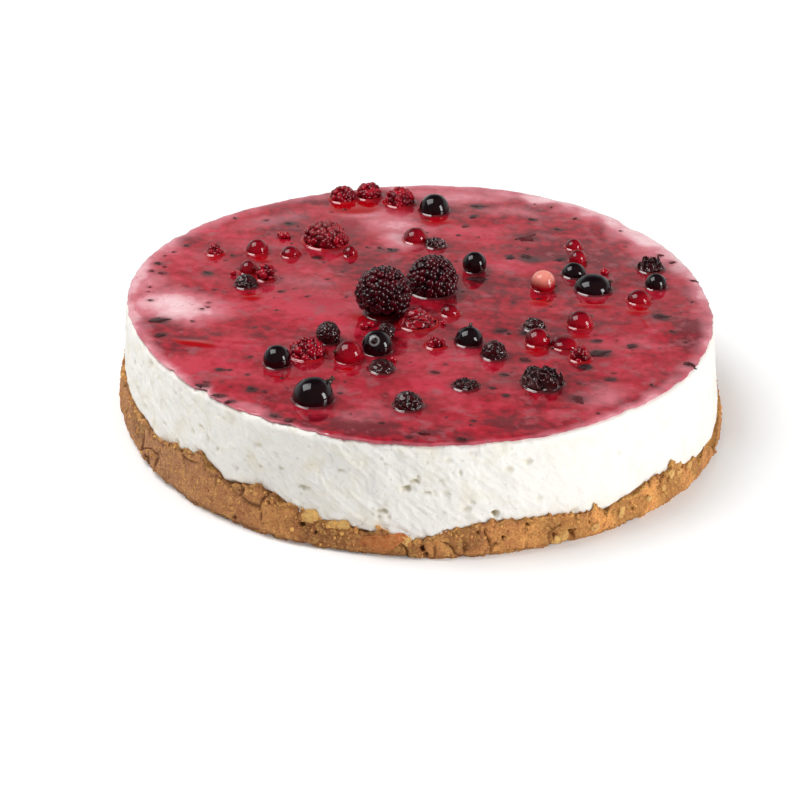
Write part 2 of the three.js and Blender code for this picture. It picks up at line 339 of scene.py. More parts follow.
def setStudio():
    clearSelection()
    bpy.ops.object.camera_add(location=studio["cameraPlace"],
                              rotation=[math.radians(turn) for turn in studio["cameraTurn"]])
    camera = bpy.context.object
    camera.data.lens = studio["cameraLens"]
    camera.data.sensor_width = 36
    camera.data.clip_start = 0.05
    bpy.context.scene.camera = camera
    addSoftBox("keyBox", studio["keyPlace"], studio["keySize"], studio["keyPower"])
    addSoftBox("sideBox", studio["sidePlace"], studio["sideSize"], studio["sidePower"])
    fillBox = addSoftBox("fillBox", studio["fillPlace"], studio["fillSize"], studio["fillPower"])
    fillBox.visible_glossy = False
    setSky()
    bpy.ops.mesh.primitive_plane_add(size=studio["floorSize"], location=(0, 0, -studio["floorDrop"]))
    floor = bpy.context.object
    floor.name = "floor"
    paper, sheet, shader = newMaterial("whitePaper", {
        "Roughness": 0.9, "Specular IOR Level": 0.1, "Emission Strength": 1.0})
    fibre = sheet.grain(0.004)
    away = sheet.node("ShaderNodeVectorMath", {"operation": "LENGTH"}, {0: sheet.place()}, output="Value")
    near, far = [(glow, glow, glow, 1) for glow in studio["floorGlow"]]
    feed(sheet, shader, {"Base Color": fibre.mixed((0.90, 0.90, 0.90, 1), (0.93, 0.93, 0.93, 1)),
                         "Emission Color": away.between(0.15, 0.55).mixed(near, far)})
    floor.data.materials.append(paper)
    floor.visible_glossy = False
    bpy.context.scene.view_settings.view_transform = "Standard"


setStudio()
print("studio set")


# what the solids say about the cake's own shape

# where rays start, and a height at which there is crust all round
probe = {"outside": 0.2, "above": 0.1, "crustLevel": 0.006}


def meshTree(piece):
    # without the wide flat caps
    return BVHTree.FromPolygons([corner.co for corner in piece.data.vertices],
                                [face.vertices for face in piece.data.polygons if len(face.vertices) < 9])


baseTree, cheeseTree, jellyTree = [meshTree(cadNodes[name]) for name in ("base", "filling", "jelly")]


def outwardAt(angle):
    return Vector((math.cos(angle), math.sin(angle), 0))


def fromSide(tree, angle, height):
    start = outwardAt(angle) * probe["outside"] + Vector((0, 0, height))
    return tree.ray_cast(start, -outwardAt(angle))


def fromAbove(tree, x, y, start=probe["above"]):
    return tree.ray_cast(Vector((x, y, start)), Vector((0, 0, -1)))


def reachAt(tree, angle, height):
    # how far out the node's wall stands at that angle and height
    place, normal, index, distance = fromSide(tree, angle, height)
    return probe["outside"] - distance if place else None


def crestAt(tree, angle):
    # how high the node's upper edge stands at that angle
    best = 0.0
    for inset in (0.0004, 0.0010, 0.0018):
        reach = reachAt(tree, angle, probe["crustLevel"]) - inset
        place = fromAbove(tree, *(outwardAt(angle) * reach).xy, probe["outside"])[0]
        if place:
            best = max(best, place.z)
    return best


def addWall(columns, rows, lip=0.05):
    # a closed upright drum of one unit, whose side is cut into rows of faces
    clearSelection()
    bpy.ops.mesh.primitive_cylinder_add(vertices=columns, radius=1, depth=1, location=(0, 0, 0.5))
    drum = bpy.context.object
    applyPlace(drum)
    corners = drum.data.vertices

    def isUpright(edge):
        low, high = [corners[index].co.z for index in edge.vertices]
        return abs(low - high) > 0.5
    editWith(drum, "EDGE", isUpright)
    bpy.ops.mesh.subdivide(number_cuts=rows - 1)
    leaveEdit()
    editWith(drum, "FACE", lambda face: abs(face.normal.z) > 0.5)
    bpy.ops.mesh.inset(thickness=lip)
    leaveEdit()
    return drum


def around(places):
    return np.arctan2(places[:, 1], places[:, 0]), np.hypot(places[:, 0], places[:, 1])


def ringPlaces(angles, radius, heights):
    level = heights + np.zeros(len(angles))
    return np.column_stack([np.cos(angles) * radius, np.sin(angles) * radius, level])


def roundTable(rule, count=720):
    # a value for every half degree, so that a column looks its own up
    table = np.array([rule(2 * math.pi * step / count - math.pi) for step in range(count)])
    turns = np.linspace(-math.pi, math.pi, count, endpoint=False)
    return lambda angles: np.interp(angles, np.append(turns, math.pi), np.append(table, table[0]))


def degreesApart(angles, towards):
    return (np.degrees(angles) - towards + 180) % 360 - 180


def bell(angles, towards, width):
    # 1 at that side, falling away over so many degrees
    return np.exp(-(degreesApart(angles, towards) / width) ** 2)


def sideShare(angles, towards, full, none):
    # 1 within so many degrees of that side, 0 further off than none
    return smoothStep(none, full, np.abs(degreesApart(angles, towards)))


# biscuit crust
crust = {
    "columns": 1800,
    "rows": 42,
    "wallShare": 0.84,          # of the rows; the rest lie on the ledge
    "ledge": 0.0034,
    "faceRadius": 0.113,        # of the face, for patterns laid round it
    "wallAbout": 0.112,         # where a ray finds no wall
    "capInset": 0.008,          # of the hidden faces on top and below
    "innerFloor": 0.0125,       # top of the hidden floor under the filling
    "slabs": 120,
    "slabStep": 0.00036,
    "crackWide": 0.0006,
    "crackDeep": 0.0010,
    "crackWarp": 0.0022,
    "grains": 17000,
    "grainProud": 0.00024,
    "roughProud": 0.00066,
    "lostShare": 0.09,          # grains that have dropped out
    "lostDeep": 0.0008,
    "broken": 0.00034,          # coarse unevenness of the whole face
    "bitten": 0.0006,           # pieces gone from the foot
    "raggedFine": 0.0013,
    "raggedCoarse": 0.0010,
    "jagged": (318, 10, 40, 0.9),       # most here: degrees round, fully within, none past, how much more
    # teeth and dips of the upper edge: degrees round, height, half width in degrees
    "spikes": [
        (323.8, 0.0042, 0.9), (315.5, 0.0012, 1.4), (303.4, 0.0016, 0.9), (283.6, 0.0014, 0.9),
        (241.0, 0.0022, 1.2), (249.5, 0.0016, 1.5), (219.0, 0.0022, 2.5), (226.5, 0.0018, 1.4),
        (264.5, 0.0020, 1.6), (275.0, 0.0014, 1.2), (229.5, -0.0022, 1.2), (245.0, -0.0016, 1.2),
        (260.5, -0.0018, 1.5), (305.8, -0.0014, 1.0), (204.0, -0.0026, 4.0), (335.0, -0.0030, 1.6),
        (345.0, -0.0045, 3.5),
    ],
    # loose crumb: degrees round, half width in degrees
    "roughStretches": [
        (254, 5), (268, 3), (297, 5), (311, 3), (323, 4), (20, 8), (70, 6), (120, 9), (170, 7),
    ],
    # degrees round, height, half width, depth
    "holes": [
        (271.4, 0.0040, 0.0013, 0.0024), (271.8, 0.0018, 0.0014, 0.0024), (298.6, 0.0036, 0.0024, 0.0038),
        (250.0, 0.0080, 0.0014, 0.0022), (236.6, 0.0030, 0.0014, 0.0014), (306.0, 0.0080, 0.0010, 0.0016),
        (322.0, 0.0100, 0.0011, 0.0018), (210.5, 0.0020, 0.0036, 0.0030), (252.6, 0.0060, 0.0010, 0.0016),
        (285.5, 0.0070, 0.0010, 0.0012), (290.0, 0.0110, 0.0009, 0.0012), (281.0, 0.0100, 0.0008, 0.0012),
        (237.8, 0.0140, 0.0012, 0.0014), (243.5, 0.0130, 0.0010, 0.0012), (319.5, 0.0092, 0.0013, 0.0018),
        (312.4, 0.0058, 0.0009, 0.0014), (328.6, 0.0088, 0.0011, 0.0016), (302.4, 0.0068, 0.0009, 0.0014),
        (295.0, 0.0052, 0.0010, 0.0016), (331.5, 0.0128, 0.0010, 0.0014),
    ],
    "foot": (240, 28, 0.0022),  # spreads here: degrees round, half width, how far
    "dull": (212, 45),          # greyer towards this side, within so many degrees
    "sunny": (312, 40),         # painted light: brighter biscuit towards this side, which faces the lamp low on the right, within so many degrees
    "brown": tint(179, 114, 68),
    "golden": tint(204, 138, 78),
    "dullBrown": tint(172, 121, 88),
    "paleCrumb": tint(242, 190, 106),
    "sunnyCrumb": tint(248, 172, 94),
    "darkGap": tint(92, 50, 22),
}


def makeCrustMaterial():
    material, sheet, shader = newMaterial("biscuitCrumb", {"Roughness": 0.75, "Specular IOR Level": 0.35})
    tone = sheet.attribute("tone")
    gap = sheet.attribute("gap")
    rough = sheet.attribute("rough")
    speck = sheet.grain(0.0007, detail=2)
    patch = sheet.grain(0.010, detail=4)
    ground = patch.between(0.35, 0.68).mixed(crust["brown"], crust["golden"])
    dulled = (sheet.attribute("dull") * 0.75).mixed(ground, crust["dullBrown"])
    # painted light: brighter crumb on the side that faces the lamp on the right
    sunny = (sheet.attribute("sunny") * (0.48 + tone * 0.5)).mixed(dulled, crust["sunnyCrumb"])
    crumbed = ((tone - 0.45) * 1.5 * (0.30 + rough * 0.70)).clipped().mixed(sunny, crust["paleCrumb"])
    coarse = sheet.grain(0.0020, detail=3, rough=0.6)
    darkSpecks = speck.between(0.56, 0.74) * 0.70 + coarse.between(0.55, 0.75) * 0.45
    paleSpecks = speck.between(0.40, 0.26) * 0.60 + coarse.between(0.44, 0.26) * 0.40
    specked = darkSpecks.clipped().mixed(crumbed, crust["darkGap"])
    pale = paleSpecks.clipped().mixed(specked, crust["paleCrumb"])
    # painted shade: cracks, pits, holes and the gaps between grains take the dark brown, where shade falls
    colour = (gap * 0.85).mixed(pale, crust["darkGap"])
    height = sheet.grain(0.0008, detail=4)
    feed(sheet, shader, {"Base Color": colour, "Normal": sheet.bump(height, 0.0007)})
    return material


def spikesAt(angles):
    return sum(tall * bell(angles, towards, width) for towards, tall, width in crust["spikes"])


def shapeCrust():
    crest = roundTable(lambda angle: crestAt(baseTree, angle))
    drum = addWall(crust["columns"], crust["rows"])
    unit = readPlaces(drum)
    angles, spread = around(unit)
    onCircle = ringPlaces(angles, crust["faceRadius"], 0)
    towards, full, none, more = crust["jagged"]
    jags = 1 + more * sideShare(angles, towards, full, none)
    edge = crest(angles) + crust["raggedFine"] * jags * lumps(onCircle, 0.0022, 3.1)
    edge += crust["raggedCoarse"] * lumps(onCircle, 0.0065, 8.4)
    edge += spikesAt(angles)
    climb = np.clip(unit[:, 2] / crust["wallShare"], 0, 1)
    inward = np.clip((unit[:, 2] - crust["wallShare"]) / (1 - crust["wallShare"]), 0, 1)
    heights = climb * edge
    onWall = [min(max(height, 0.0004), top - 0.0012) for height, top in zip(heights, crest(angles))]
    reach = np.array([reachAt(baseTree, angle, height) or crust["wallAbout"]
                      for angle, height in zip(angles, onWall)])
    towards, width, spreads = crust["foot"]
    footed = spreads * bell(angles, towards, width) * (1 - climb) ** 1.3
    radius = reach - inward * crust["ledge"] + footed
    capped = spread < 0.999
    radius[capped] = reach[capped] - crust["capInset"]
    heights[capped & (unit[:, 2] > 0.5)] = crust["innerFloor"]
    heights[capped & (unit[:, 2] <= 0.5)] = 0.0
    writePlaces(drum, ringPlaces(angles, radius, heights))
    return drum, angles, capped, edge


def roughenCrust(drum, angles, capped, edge):
    chance = random.Random(17)
    places = readPlaces(drum)
    normals = readNormals(drum)
    onWall = np.flatnonzero(~capped)
    rough = np.zeros(len(places))
    for towards, width in crust["roughStretches"]:
        rough = np.maximum(rough, sideShare(angles, towards, width * 0.5, width * 1.5))
    rough = np.clip(rough + 0.9 * smoothStep(0.18, 0.42, lumps(places, 0.016, 5.7)), 0, 1)
    # loose crumb along the upper edge and at the foot
    ragged = 0.0006 * lumps(places, 0.004, 6.6)
    rough = np.maximum(rough, smoothStep(0.0026, 0.0008, edge - places[:, 2] + ragged))
    rough = np.maximum(rough, 0.8 * smoothStep(0.0030, 0.0012, places[:, 2] + ragged))
    # painted light towards the side that faces the lamp on the right; greyer towards the other side
    sunny, dull = [sideShare(angles, towards, 0, width) for towards, width in (crust["sunny"], crust["dull"])]
    # slabs where the crumb was pressed against the ring, with cracks between them
    slabSeeds = [Vector(places[chance.choice(onWall)]) for number in range(crust["slabs"])]
    warp = np.column_stack([lumps(places, 0.006, shift) for shift in (1.5, 4.5, 9.5)]) * crust["crackWarp"]
    owner, first, second = nearestTwo(slabSeeds, places + warp)
    steps = np.array([chance.uniform(-1, 1) for seed in slabSeeds])
    split = smoothStep(crust["crackWide"], 0, (second - first) / 2)
    split *= smoothStep(0.0, 0.30, lumps(places, 0.011, 2.2))
    relief = crust["slabStep"] * steps[owner] - crust["crackDeep"] * split
    relief += crust["broken"] * (lumps(places, 0.0036, 7.1) + 0.8 * lumps(places, 0.0015, 2.8))
    bite = smoothStep(0.12, 0.42, lumps(places * np.array([1, 1, 0.4]), 0.006, 3.7))
    bite *= smoothStep(0.0030, 0.0008, places[:, 2])
    relief -= crust["bitten"] * bite
    # grains, each with its own shade; some are lost
    grainSeeds = [Vector(places[chance.choice(onWall)]) for number in range(crust["grains"])]
    grain, near, far = nearestTwo(grainSeeds, places)
    shades = np.array([chance.random() for seed in grainSeeds])
    lost = np.array([chance.random() < crust["lostShare"] for seed in grainSeeds]).astype(float)
    dome = smoothStep(0, 0.0007, (far - near) / 2)
    proud = crust["grainProud"] * (1 - rough) + crust["roughProud"] * rough
    relief += proud * (dome * (0.4 + shades[grain]) - 0.7)
    pitted = lost[grain] * dome * (0.35 + 0.65 * rough)
    relief -= crust["lostDeep"] * pitted
    # painted shade in the cracks, the lost grains, the bitten foot and between rough grains
    gap = np.maximum(np.maximum(split * 0.8, pitted * 0.9), bite * 0.45)
    gap = np.maximum(gap, (1 - dome) * rough * 0.55)
    # painted light: along the upper edge the grains are paler and the gaps less dark, as lit from above
    onEdge = smoothStep(0.0014, 0.0002, edge - places[:, 2])
    onEdge *= smoothStep(-0.25, 0.25, lumps(places, 0.005, 4.9))
    gap *= 1 - 0.8 * onEdge
    tones = np.maximum(shades[grain], onEdge * (0.55 + 0.4 * shades[grain]))
    for towards, height, size, depth in crust["holes"]:
        sideways = np.radians(degreesApart(angles, towards)) * crust["faceRadius"]
        near = np.hypot(sideways * 1.2, places[:, 2] - height) + 0.5 * size * lumps(places, 0.0013, 1.3)
        hollow = smoothStep(size, size * 0.35, near)
        relief -= depth * hollow
        # the hole is darkened with painted shade
        gap = np.maximum(gap, hollow)
    relief[capped] = 0
    places += normals * relief[:, None]
    places[:, 2] = np.maximum(places[:, 2], 0)
    writePlaces(drum, places)
    paintAll(drum, tone=tones, gap=gap, rough=rough, sunny=sunny, dull=dull)


def makeCrust():
    drum, angles, capped, edge = shapeCrust()
    roughenCrust(drum, angles, capped, edge)
    return keepPiece(drum, "biscuitCrust", crustMaterial, ["base"])


crustMaterial = makeCrustMaterial()
biscuitCrust = makeCrust()
print("crust pressed")


# crumbs on the crust's face and along its edge
crumbs = {
    "models": 5,
    "count": 2500,
    "alongEdge": 0.55,          # share of them
    "edgeBand": (-0.0002, 0.0018),      # how far in from the face
    "faceBand": (0.0012, 0.016),        # how high on it
    "small": 0.0005,
    "large": 0.0021,
    "sunk": 0.25,
}


def addCrumbModel(seed):
    # a knob broken off on a few sides
    chance = random.Random(seed)
    clearSelection()
    bpy.ops.mesh.primitive_ico_sphere_add(subdivisions=2, radius=0.5)
    crumb = bpy.context.object
    pick(crumb)
    bpy.ops.object.mode_set(mode="EDIT")
    breakOff(chance, 4, 0.22, 0.40)
    leaveEdit()
    knob = readPlaces(crumb)
    writePlaces(crumb, knob * (1 + 0.22 * lumps(knob, 0.35, seed * 3.3))[:, None])
    return crumb


def crustSurface(tree, angle, height):
    return fromSide(tree, angle, height)[:2]


def crustEdge(tree, angle, inset):
    place, normal = crustSurface(tree, angle, probe["crustLevel"])
    return fromAbove(tree, *(outwardAt(angle) * (place.xy.length - inset)).xy)[:2]


def stuckOn(place, normal, sunk, size, chance):
    turned = normal.to_track_quat("Z", "Y").to_matrix().to_4x4()
    spin = Euler([chance.uniform(0, 6.28) for axis in "xyz"]).to_matrix().to_4x4()
    return Matrix.Translation(place - normal * size * sunk) @ turned @ spin


def onFloor(piece):
    # flat where it stands on the floor
    places = readPlaces(piece)
    places[:, 2] = np.maximum(places[:, 2], 0)
    writePlaces(piece, places)
    return piece


def makeCrumbs():
    chance = random.Random(41)
    tree = meshTree(biscuitCrust)
    models = [addCrumbModel(seed) for seed in range(crumbs["models"])]
    copies = []
    while len(copies) < crumbs["count"]:
        angle = chance.uniform(-math.pi, math.pi)
        rough = max(bell(angle, *stretch) for stretch in crust["roughStretches"])
        if chance.random() > 0.30 + 0.7 * rough:
            continue
        size = crumbs["small"] + (crumbs["large"] - crumbs["small"]) * chance.random() ** 3
        if chance.random() < crumbs["alongEdge"]:
            place, normal = crustEdge(tree, angle, chance.uniform(*crumbs["edgeBand"]))
        else:
            place, normal = crustSurface(tree, angle, chance.uniform(*crumbs["faceBand"]))
        if not place or place.z < size * 0.5:
            continue
        shape = Matrix.Diagonal((size * chance.uniform(0.8, 1.5), size, size * chance.uniform(0.6, 1.0), 1))
        copy = copyOf(chance.choice(models), stuckOn(place, normal, crumbs["sunk"], size, chance) @ shape)
        # each crumb gets a random tone and darkness, and a little painted light
        paintAll(copy, tone=chance.uniform(0.35, 1.0), gap=0.25 * chance.random() ** 2,
                 rough=1.0, sunny=0.3, dull=0.0)
        copies.append(copy)
    removeModels(models)
    keepPiece(onFloor(joinCopies(copies)), "biscuitCrumbs", crustMaterial)


makeCrumbs()


# nut pieces pressed into the crust
nuts = {
    # degrees round, height, length, height, thickness, tilt in degrees, shade: 0 pale, 1 toasted
    "pieces": [
        (251.2, 0.0112, 0.0064, 0.0048, 0.0036, -14, 0.10),
        (256.0, 0.0092, 0.0108, 0.0040, 0.0034, -15, 0.05),
        (264.6, 0.0054, 0.0168, 0.0068, 0.0054, -11, 1.00),
        (268.4, 0.0066, 0.0038, 0.0030, 0.0026, 20, 0.15),
        (309.6, 0.0055, 0.0034, 0.0058, 0.0026, 15, 0.12),
        (323.0, 0.0115, 0.0040, 0.0034, 0.0028, 30, 0.10),
        (303.4, 0.0040, 0.0042, 0.0040, 0.0026, 10, 0.20),
        (296.9, 0.0042, 0.0034, 0.0040, 0.0026, 25, 0.25),
        (334.5, 0.0080, 0.0040, 0.0030, 0.0024, 5, 0.05),
        (326.5, 0.0105, 0.0050, 0.0036, 0.0028, -20, 0.10),
        (316.4, 0.0070, 0.0034, 0.0026, 0.0020, 30, 0.05),
        (330.4, 0.0082, 0.0030, 0.0036, 0.0022, 15, 0.15),
        (338.6, 0.0120, 0.0036, 0.0028, 0.0022, -30, 0.05),
        (295.6, 0.0030, 0.0032, 0.0036, 0.0022, 10, 0.05),
        (320.6, 0.0078, 0.0028, 0.0034, 0.0020, -15, 0.30),
        (35.0, 0.0080, 0.0080, 0.0042, 0.0032, 12, 0.15),
        (88.0, 0.0070, 0.0060, 0.0040, 0.0030, -20, 0.60),
        (131.0, 0.0090, 0.0070, 0.0040, 0.0030, 8, 0.10),
        (176.0, 0.0075, 0.0090, 0.0044, 0.0032, -12, 0.35),
    ],
    "sunk": 0.24,
    "pale": tint(226, 180, 104),
    "toasted": tint(186, 99, 44),
    "skin": tint(122, 66, 28),
}


def makeNutMaterial():
    material, sheet, shader = newMaterial("nutFlesh", {"Roughness": 0.55, "Specular IOR Level": 0.4})
    toast = sheet.attribute("toast")
    fibre = sheet.grain(0.0022, detail=4, stretch=(1, 1, 2.2))
    speck = sheet.grain(0.0006, detail=2)
    flesh = (toast * 0.80 + (fibre - 0.5) * 0.9 + 0.05).clipped().mixed(nuts["pale"], nuts["toasted"])
    skinned = speck.between(0.58, 0.75) * 0.5 + fibre.between(0.55, 0.75) * 0.50
    colour = skinned.clipped().mixed(flesh, nuts["skin"])
    feed(sheet, shader, {"Base Color": colour, "Normal": sheet.bump(fibre + speck * 0.4, 0.0009)})
    return material


def addNutModel(seed, roundness):
    chance = random.Random(seed)
    clearSelection()
    bpy.ops.mesh.primitive_cube_add(size=1)
    chunk = bpy.context.object
    pick(chunk)
    bpy.ops.object.mode_set(mode="EDIT")
    breakOff(chance, 6, 0.40, 0.55)
    bpy.ops.mesh.select_all(action="SELECT")
    bpy.ops.mesh.bevel(offset=0.07, segments=2, affect="EDGES")
    bpy.ops.mesh.quads_convert_to_tris()
    bpy.ops.mesh.subdivide(number_cuts=3)
    leaveEdit()
    rough = readPlaces(chunk)
    ball = rough / np.linalg.norm(rough, axis=1)[:, None] * 0.52
    rough += (ball - rough) * roundness
    swell = 1 + 0.12 * lumps(rough, 0.28, seed * 1.7) + 0.05 * lumps(rough, 0.10, seed)
    writePlaces(chunk, rough * swell[:, None])
    return chunk


def makeNuts():
    tree = meshTree(biscuitCrust)
    copies = []
    for number, (towards, height, long, tall, thick, tilt, toast) in enumerate(nuts["pieces"]):
        angle = math.radians(towards)
        place, normal = crustSurface(tree, angle, height)
        facing = Matrix.Rotation(angle + math.pi / 2, 4, "Z") @ Matrix.Rotation(math.radians(tilt), 4, "Y")
        sunkPlace = place - outwardAt(angle) * thick * nuts["sunk"]
        model = addNutModel(number, 0.40 + 0.40 * toast)
        copy = copyOf(model, Matrix.Translation(sunkPlace) @ facing @ Matrix.Diagonal((long, thick, tall, 1)))
        paint(copy, "toast", toast)
        copies.append(copy)
        removeModels([model])
    keepPiece(onFloor(joinCopies(copies)), "nutPieces", makeNutMaterial())


makeNuts()
print("crumbs and nut pieces stuck on")


# cheese filling
filling = {
    "columns": 1760,
    "rows": 54,
    "behindCrust": 0.003,
    "faceRadius": 0.111,        # of the side, for patterns laid round it
    "wallAbout": 0.109,         # where a ray finds no wall
    "capInset": 0.006,          # of the hidden faces on top and below
    "innerFoot": 0.0122,        # hidden underside, a little into the crust's floor
    "topDrop": 0.0012,          # from the jelly's top down to the filling's own rim
    "rimRound": 0.0016,
    "swell": 0.00030,
    "flake": 0.00036,           # torn flakes, their step
    "drag": 0.00040,            # strokes of the knife
    "lively": (235, 30, 80),    # most worked here: degrees round, fully within, least past
    "pits": 330,
    "pitSizes": (0.0004, 0.0009),       # the smallest, and how much larger they get
    # degrees round, height, half width, half height, depth
    "tears": [
        (268.3, 0.0265, 0.0020, 0.0013, 0.0019), (269.7, 0.0293, 0.0020, 0.0009, 0.0013),
        (271.6, 0.0252, 0.0034, 0.0005, 0.0009), (249.6, 0.0216, 0.0022, 0.0011, 0.0012),
        (284.1, 0.0158, 0.0013, 0.0011, 0.0032), (264.4, 0.0172, 0.0020, 0.0009, 0.0013),
        (263.6, 0.0150, 0.0010, 0.0012, 0.0010), (226.4, 0.0300, 0.0020, 0.0006, 0.0008),
        (230.8, 0.0245, 0.0009, 0.0010, 0.0008), (241.0, 0.0250, 0.0010, 0.0008, 0.0008),
        (245.2, 0.0265, 0.0011, 0.0008, 0.0009), (218.2, 0.0362, 0.0012, 0.0007, 0.0007),
        (228.6, 0.0268, 0.0009, 0.0011, 0.0009), (256.5, 0.0305, 0.0016, 0.0006, 0.0007),
        (277.5, 0.0330, 0.0009, 0.0010, 0.0007),
    ],
    "white": tint(242, 239, 233),
    "shade": tint(232, 225, 205),
    # painted shade in pits, pores and tears
    "hollow": tint(200, 188, 148),
}


def makeFillingMaterial():
    material, sheet, shader = newMaterial("cheeseFilling", {
        "Roughness": 0.42, "Specular IOR Level": 0.45, "Subsurface Weight": 0.2,
        "Subsurface Radius": (0.003, 0.0027, 0.0022), "Subsurface Scale": 0.5})
    hollow = sheet.attribute("hollow")
    lively = sheet.attribute("lively")
    patch = sheet.grain(0.009, detail=3)
    fine = sheet.grain(0.0011, detail=3)
    pore = sheet.grain(0.0019, detail=2, stretch=(1, 1, 1.5)).between(0.63, 0.72) * lively
    ground = (patch.between(0.45, 0.75) * (0.25 + lively * 0.45)).mixed(filling["white"], filling["shade"])
    # painted shade: pores and hollows take the olive hollow colour
    pored = (pore * 0.16).mixed(ground, filling["hollow"])
    colour = hollow.mixed(pored, filling["hollow"])
    grainy = sheet.bump(fine, 0.00022)
    feed(sheet, shader, {"Base Color": colour, "Normal": sheet.bump(1 - pore, 0.00018, below=grainy)})
    return material


def shapeFilling():
    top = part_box("jelly")[1].z - filling["topDrop"]
    crest = roundTable(lambda angle: crestAt(baseTree, angle))
    drum = addWall(filling["columns"], filling["rows"])
    unit = readPlaces(drum)
    angles, spread = around(unit)
    low = np.maximum(crest(angles) + np.minimum(spikesAt(angles), 0) - filling["behindCrust"], 0.0004)
    heights = low + unit[:, 2] * (top - low)
    inside = np.clip(heights, crest(angles) + 0.0012, top - 0.0014)
    reach = np.array([reachAt(cheeseTree, angle, height) or filling["wallAbout"]
                      for angle, height in zip(angles, inside)])
    # the last rows turn over into the rim
    turn = smoothStep(top - filling["rimRound"], top, heights)
    radius = reach - filling["rimRound"] * 0.8 * turn * turn
    radius -= 0.0018 * smoothStep(crest(angles), crest(angles) - filling["behindCrust"], heights)
    capped = spread < 0.999
    radius[capped] -= filling["capInset"]
    heights[capped & (unit[:, 2] > 0.5)] = top - 0.0006
    heights[capped & (unit[:, 2] <= 0.5)] = filling["innerFoot"]
    writePlaces(drum, ringPlaces(angles, radius, heights))
    return drum, angles, capped


def flakesOf(level):
    # flat steps with a short climb between one and the next
    return np.floor(level) + smoothStep(0.72, 1.0, level - np.floor(level))


def roughenFilling(drum, angles, capped):
    chance = random.Random(29)
    places = readPlaces(drum)
    normals = readNormals(drum)
    onWall = np.flatnonzero(~capped)
    # livelier on the left and in front, calm on the right
    lively = 0.18 + 0.82 * sideShare(angles, *filling["lively"])
    # round the cake and up it, slanted as the knife went
    sideways, height = angles * filling["faceRadius"], places[:, 2]
    slanted = np.column_stack([sideways * 0.8 - height * 0.6, (sideways * 0.6 + height * 0.8) * 3.4,
                               np.zeros(len(places))])
    relief = filling["swell"] * lumps(places, 0.019, 4.4)
    levels = 2.6 * lumps(slanted, 0.017, 7.7) + 0.8 * lumps(places, 0.006, 2.7)
    relief += filling["flake"] * lively * flakesOf(levels)
    relief += filling["drag"] * lively * lumps(slanted, 0.0045, 3.9)
    relief += filling["drag"] * 0.3 * lively * lumps(places, 0.0016, 1.9)
    # painted shade in the pits and tears, darker where they are deeper
    hollow = np.zeros(len(places))
    tree = pointTree(places)
    smallest, larger = filling["pitSizes"]
    for number in range(filling["pits"]):
        middle = chance.choice(onWall)
        if chance.random() > lively[middle]:
            continue
        size = smallest + larger * chance.random() ** 2
        wide = chance.uniform(1.0, 2.6)
        deep = chance.uniform(0.3, 0.9)
        for place, index, distance in tree.find_range(places[middle], size * wide):
            flat = math.hypot(distance, (places[index][2] - places[middle][2]) * (wide - 1))
            depth = max(0.0, 1 - flat / (size * wide)) ** 0.8
            relief[index] -= size * deep * depth
            hollow[index] = max(hollow[index], depth * deep * 0.55)
    for towards, up, wide, tall, depth in filling["tears"]:
        across = np.radians(degreesApart(angles, towards)) * filling["faceRadius"]
        near = np.hypot(across / wide, (height - up) / tall) + 0.55 * lumps(places, 0.0014, 6.3)
        torn = smoothStep(1.30, 0.20, near)
        relief -= depth * torn
        hollow = np.maximum(hollow, torn * min(0.25 + depth / 0.0035, 0.95))
    relief[capped] = 0
    writePlaces(drum, places + normals * relief[:, None])
    paint(drum, "hollow", hollow)
    paint(drum, "lively", lively)


def makeFilling():
    drum, angles, capped = shapeFilling()
    roughenFilling(drum, angles, capped)
    keepPiece(drum, "cheeseFilling", makeFillingMaterial(), ["filling"])


makeFilling()
print("filling set")


# the berries' places, read from their solids
sitting = {
    "fuller": 1.05,
    "proud": 0.0003,
    "widestAbove": 0.10,
    # the ones that look bigger than the rest of their kind
    "fullerOnes": {
        "raspberry_1": 1.25, "raspberry_2": 1.22, "raspberry_3": 1.14, "raspberry_5": 1.12,
        "raspberry_piece_2": 1.30, "raspberry_piece_3": 1.15, "raspberry_piece_4": 1.12,
        "raspberry_piece_5": 1.12, "red_currant_5": 1.12, "wrinkled_berry_1": 1.25},
    "jellyUnder": 0.0003,       # the jelly's level, below the top of its solid
}
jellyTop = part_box("jelly")[1].z - sitting["jellyUnder"]


def berryAt(node):
    # half its size each way, and its middle, with the widest part in sight above the jelly
    low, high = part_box(node)
    fuller = sitting["fullerOnes"].get(node, sitting["fuller"])
    across, along = (high - low).xy * fuller / 2
    size = (across + along) / 2
    top = high.z + sitting["proud"] + (fuller - sitting["fuller"]) * size
    height = max(top - size, jellyTop + sitting["widestAbove"] * size)
    return {"node": node, "half": Vector((across, along, top - height)),
            "middle": Vector(((low.x + high.x) / 2, (low.y + high.y) / 2, height))}


berries = {name: berryAt(name) for name in sorted(cadNodes) if name not in ("base", "filling", "jelly")}


def contactOf(berry):
    # the radius at which the jelly meets the berry
    apart = (berry["middle"].z - jellyTop) / berry["half"].z
    return (berry["half"].x + berry["half"].y) / 2 * math.sqrt(max(1 - apart * apart, 0.16))


# wet skin, duller where it lies level on top
wet = {"level": 0.05, "side": 0.70}


def paintWet(piece):
    side = smoothStep(0.96, 0.86, readNormals(piece)[:, 2])
    paint(piece, "wet", wet["level"] + (wet["side"] - wet["level"]) * side)


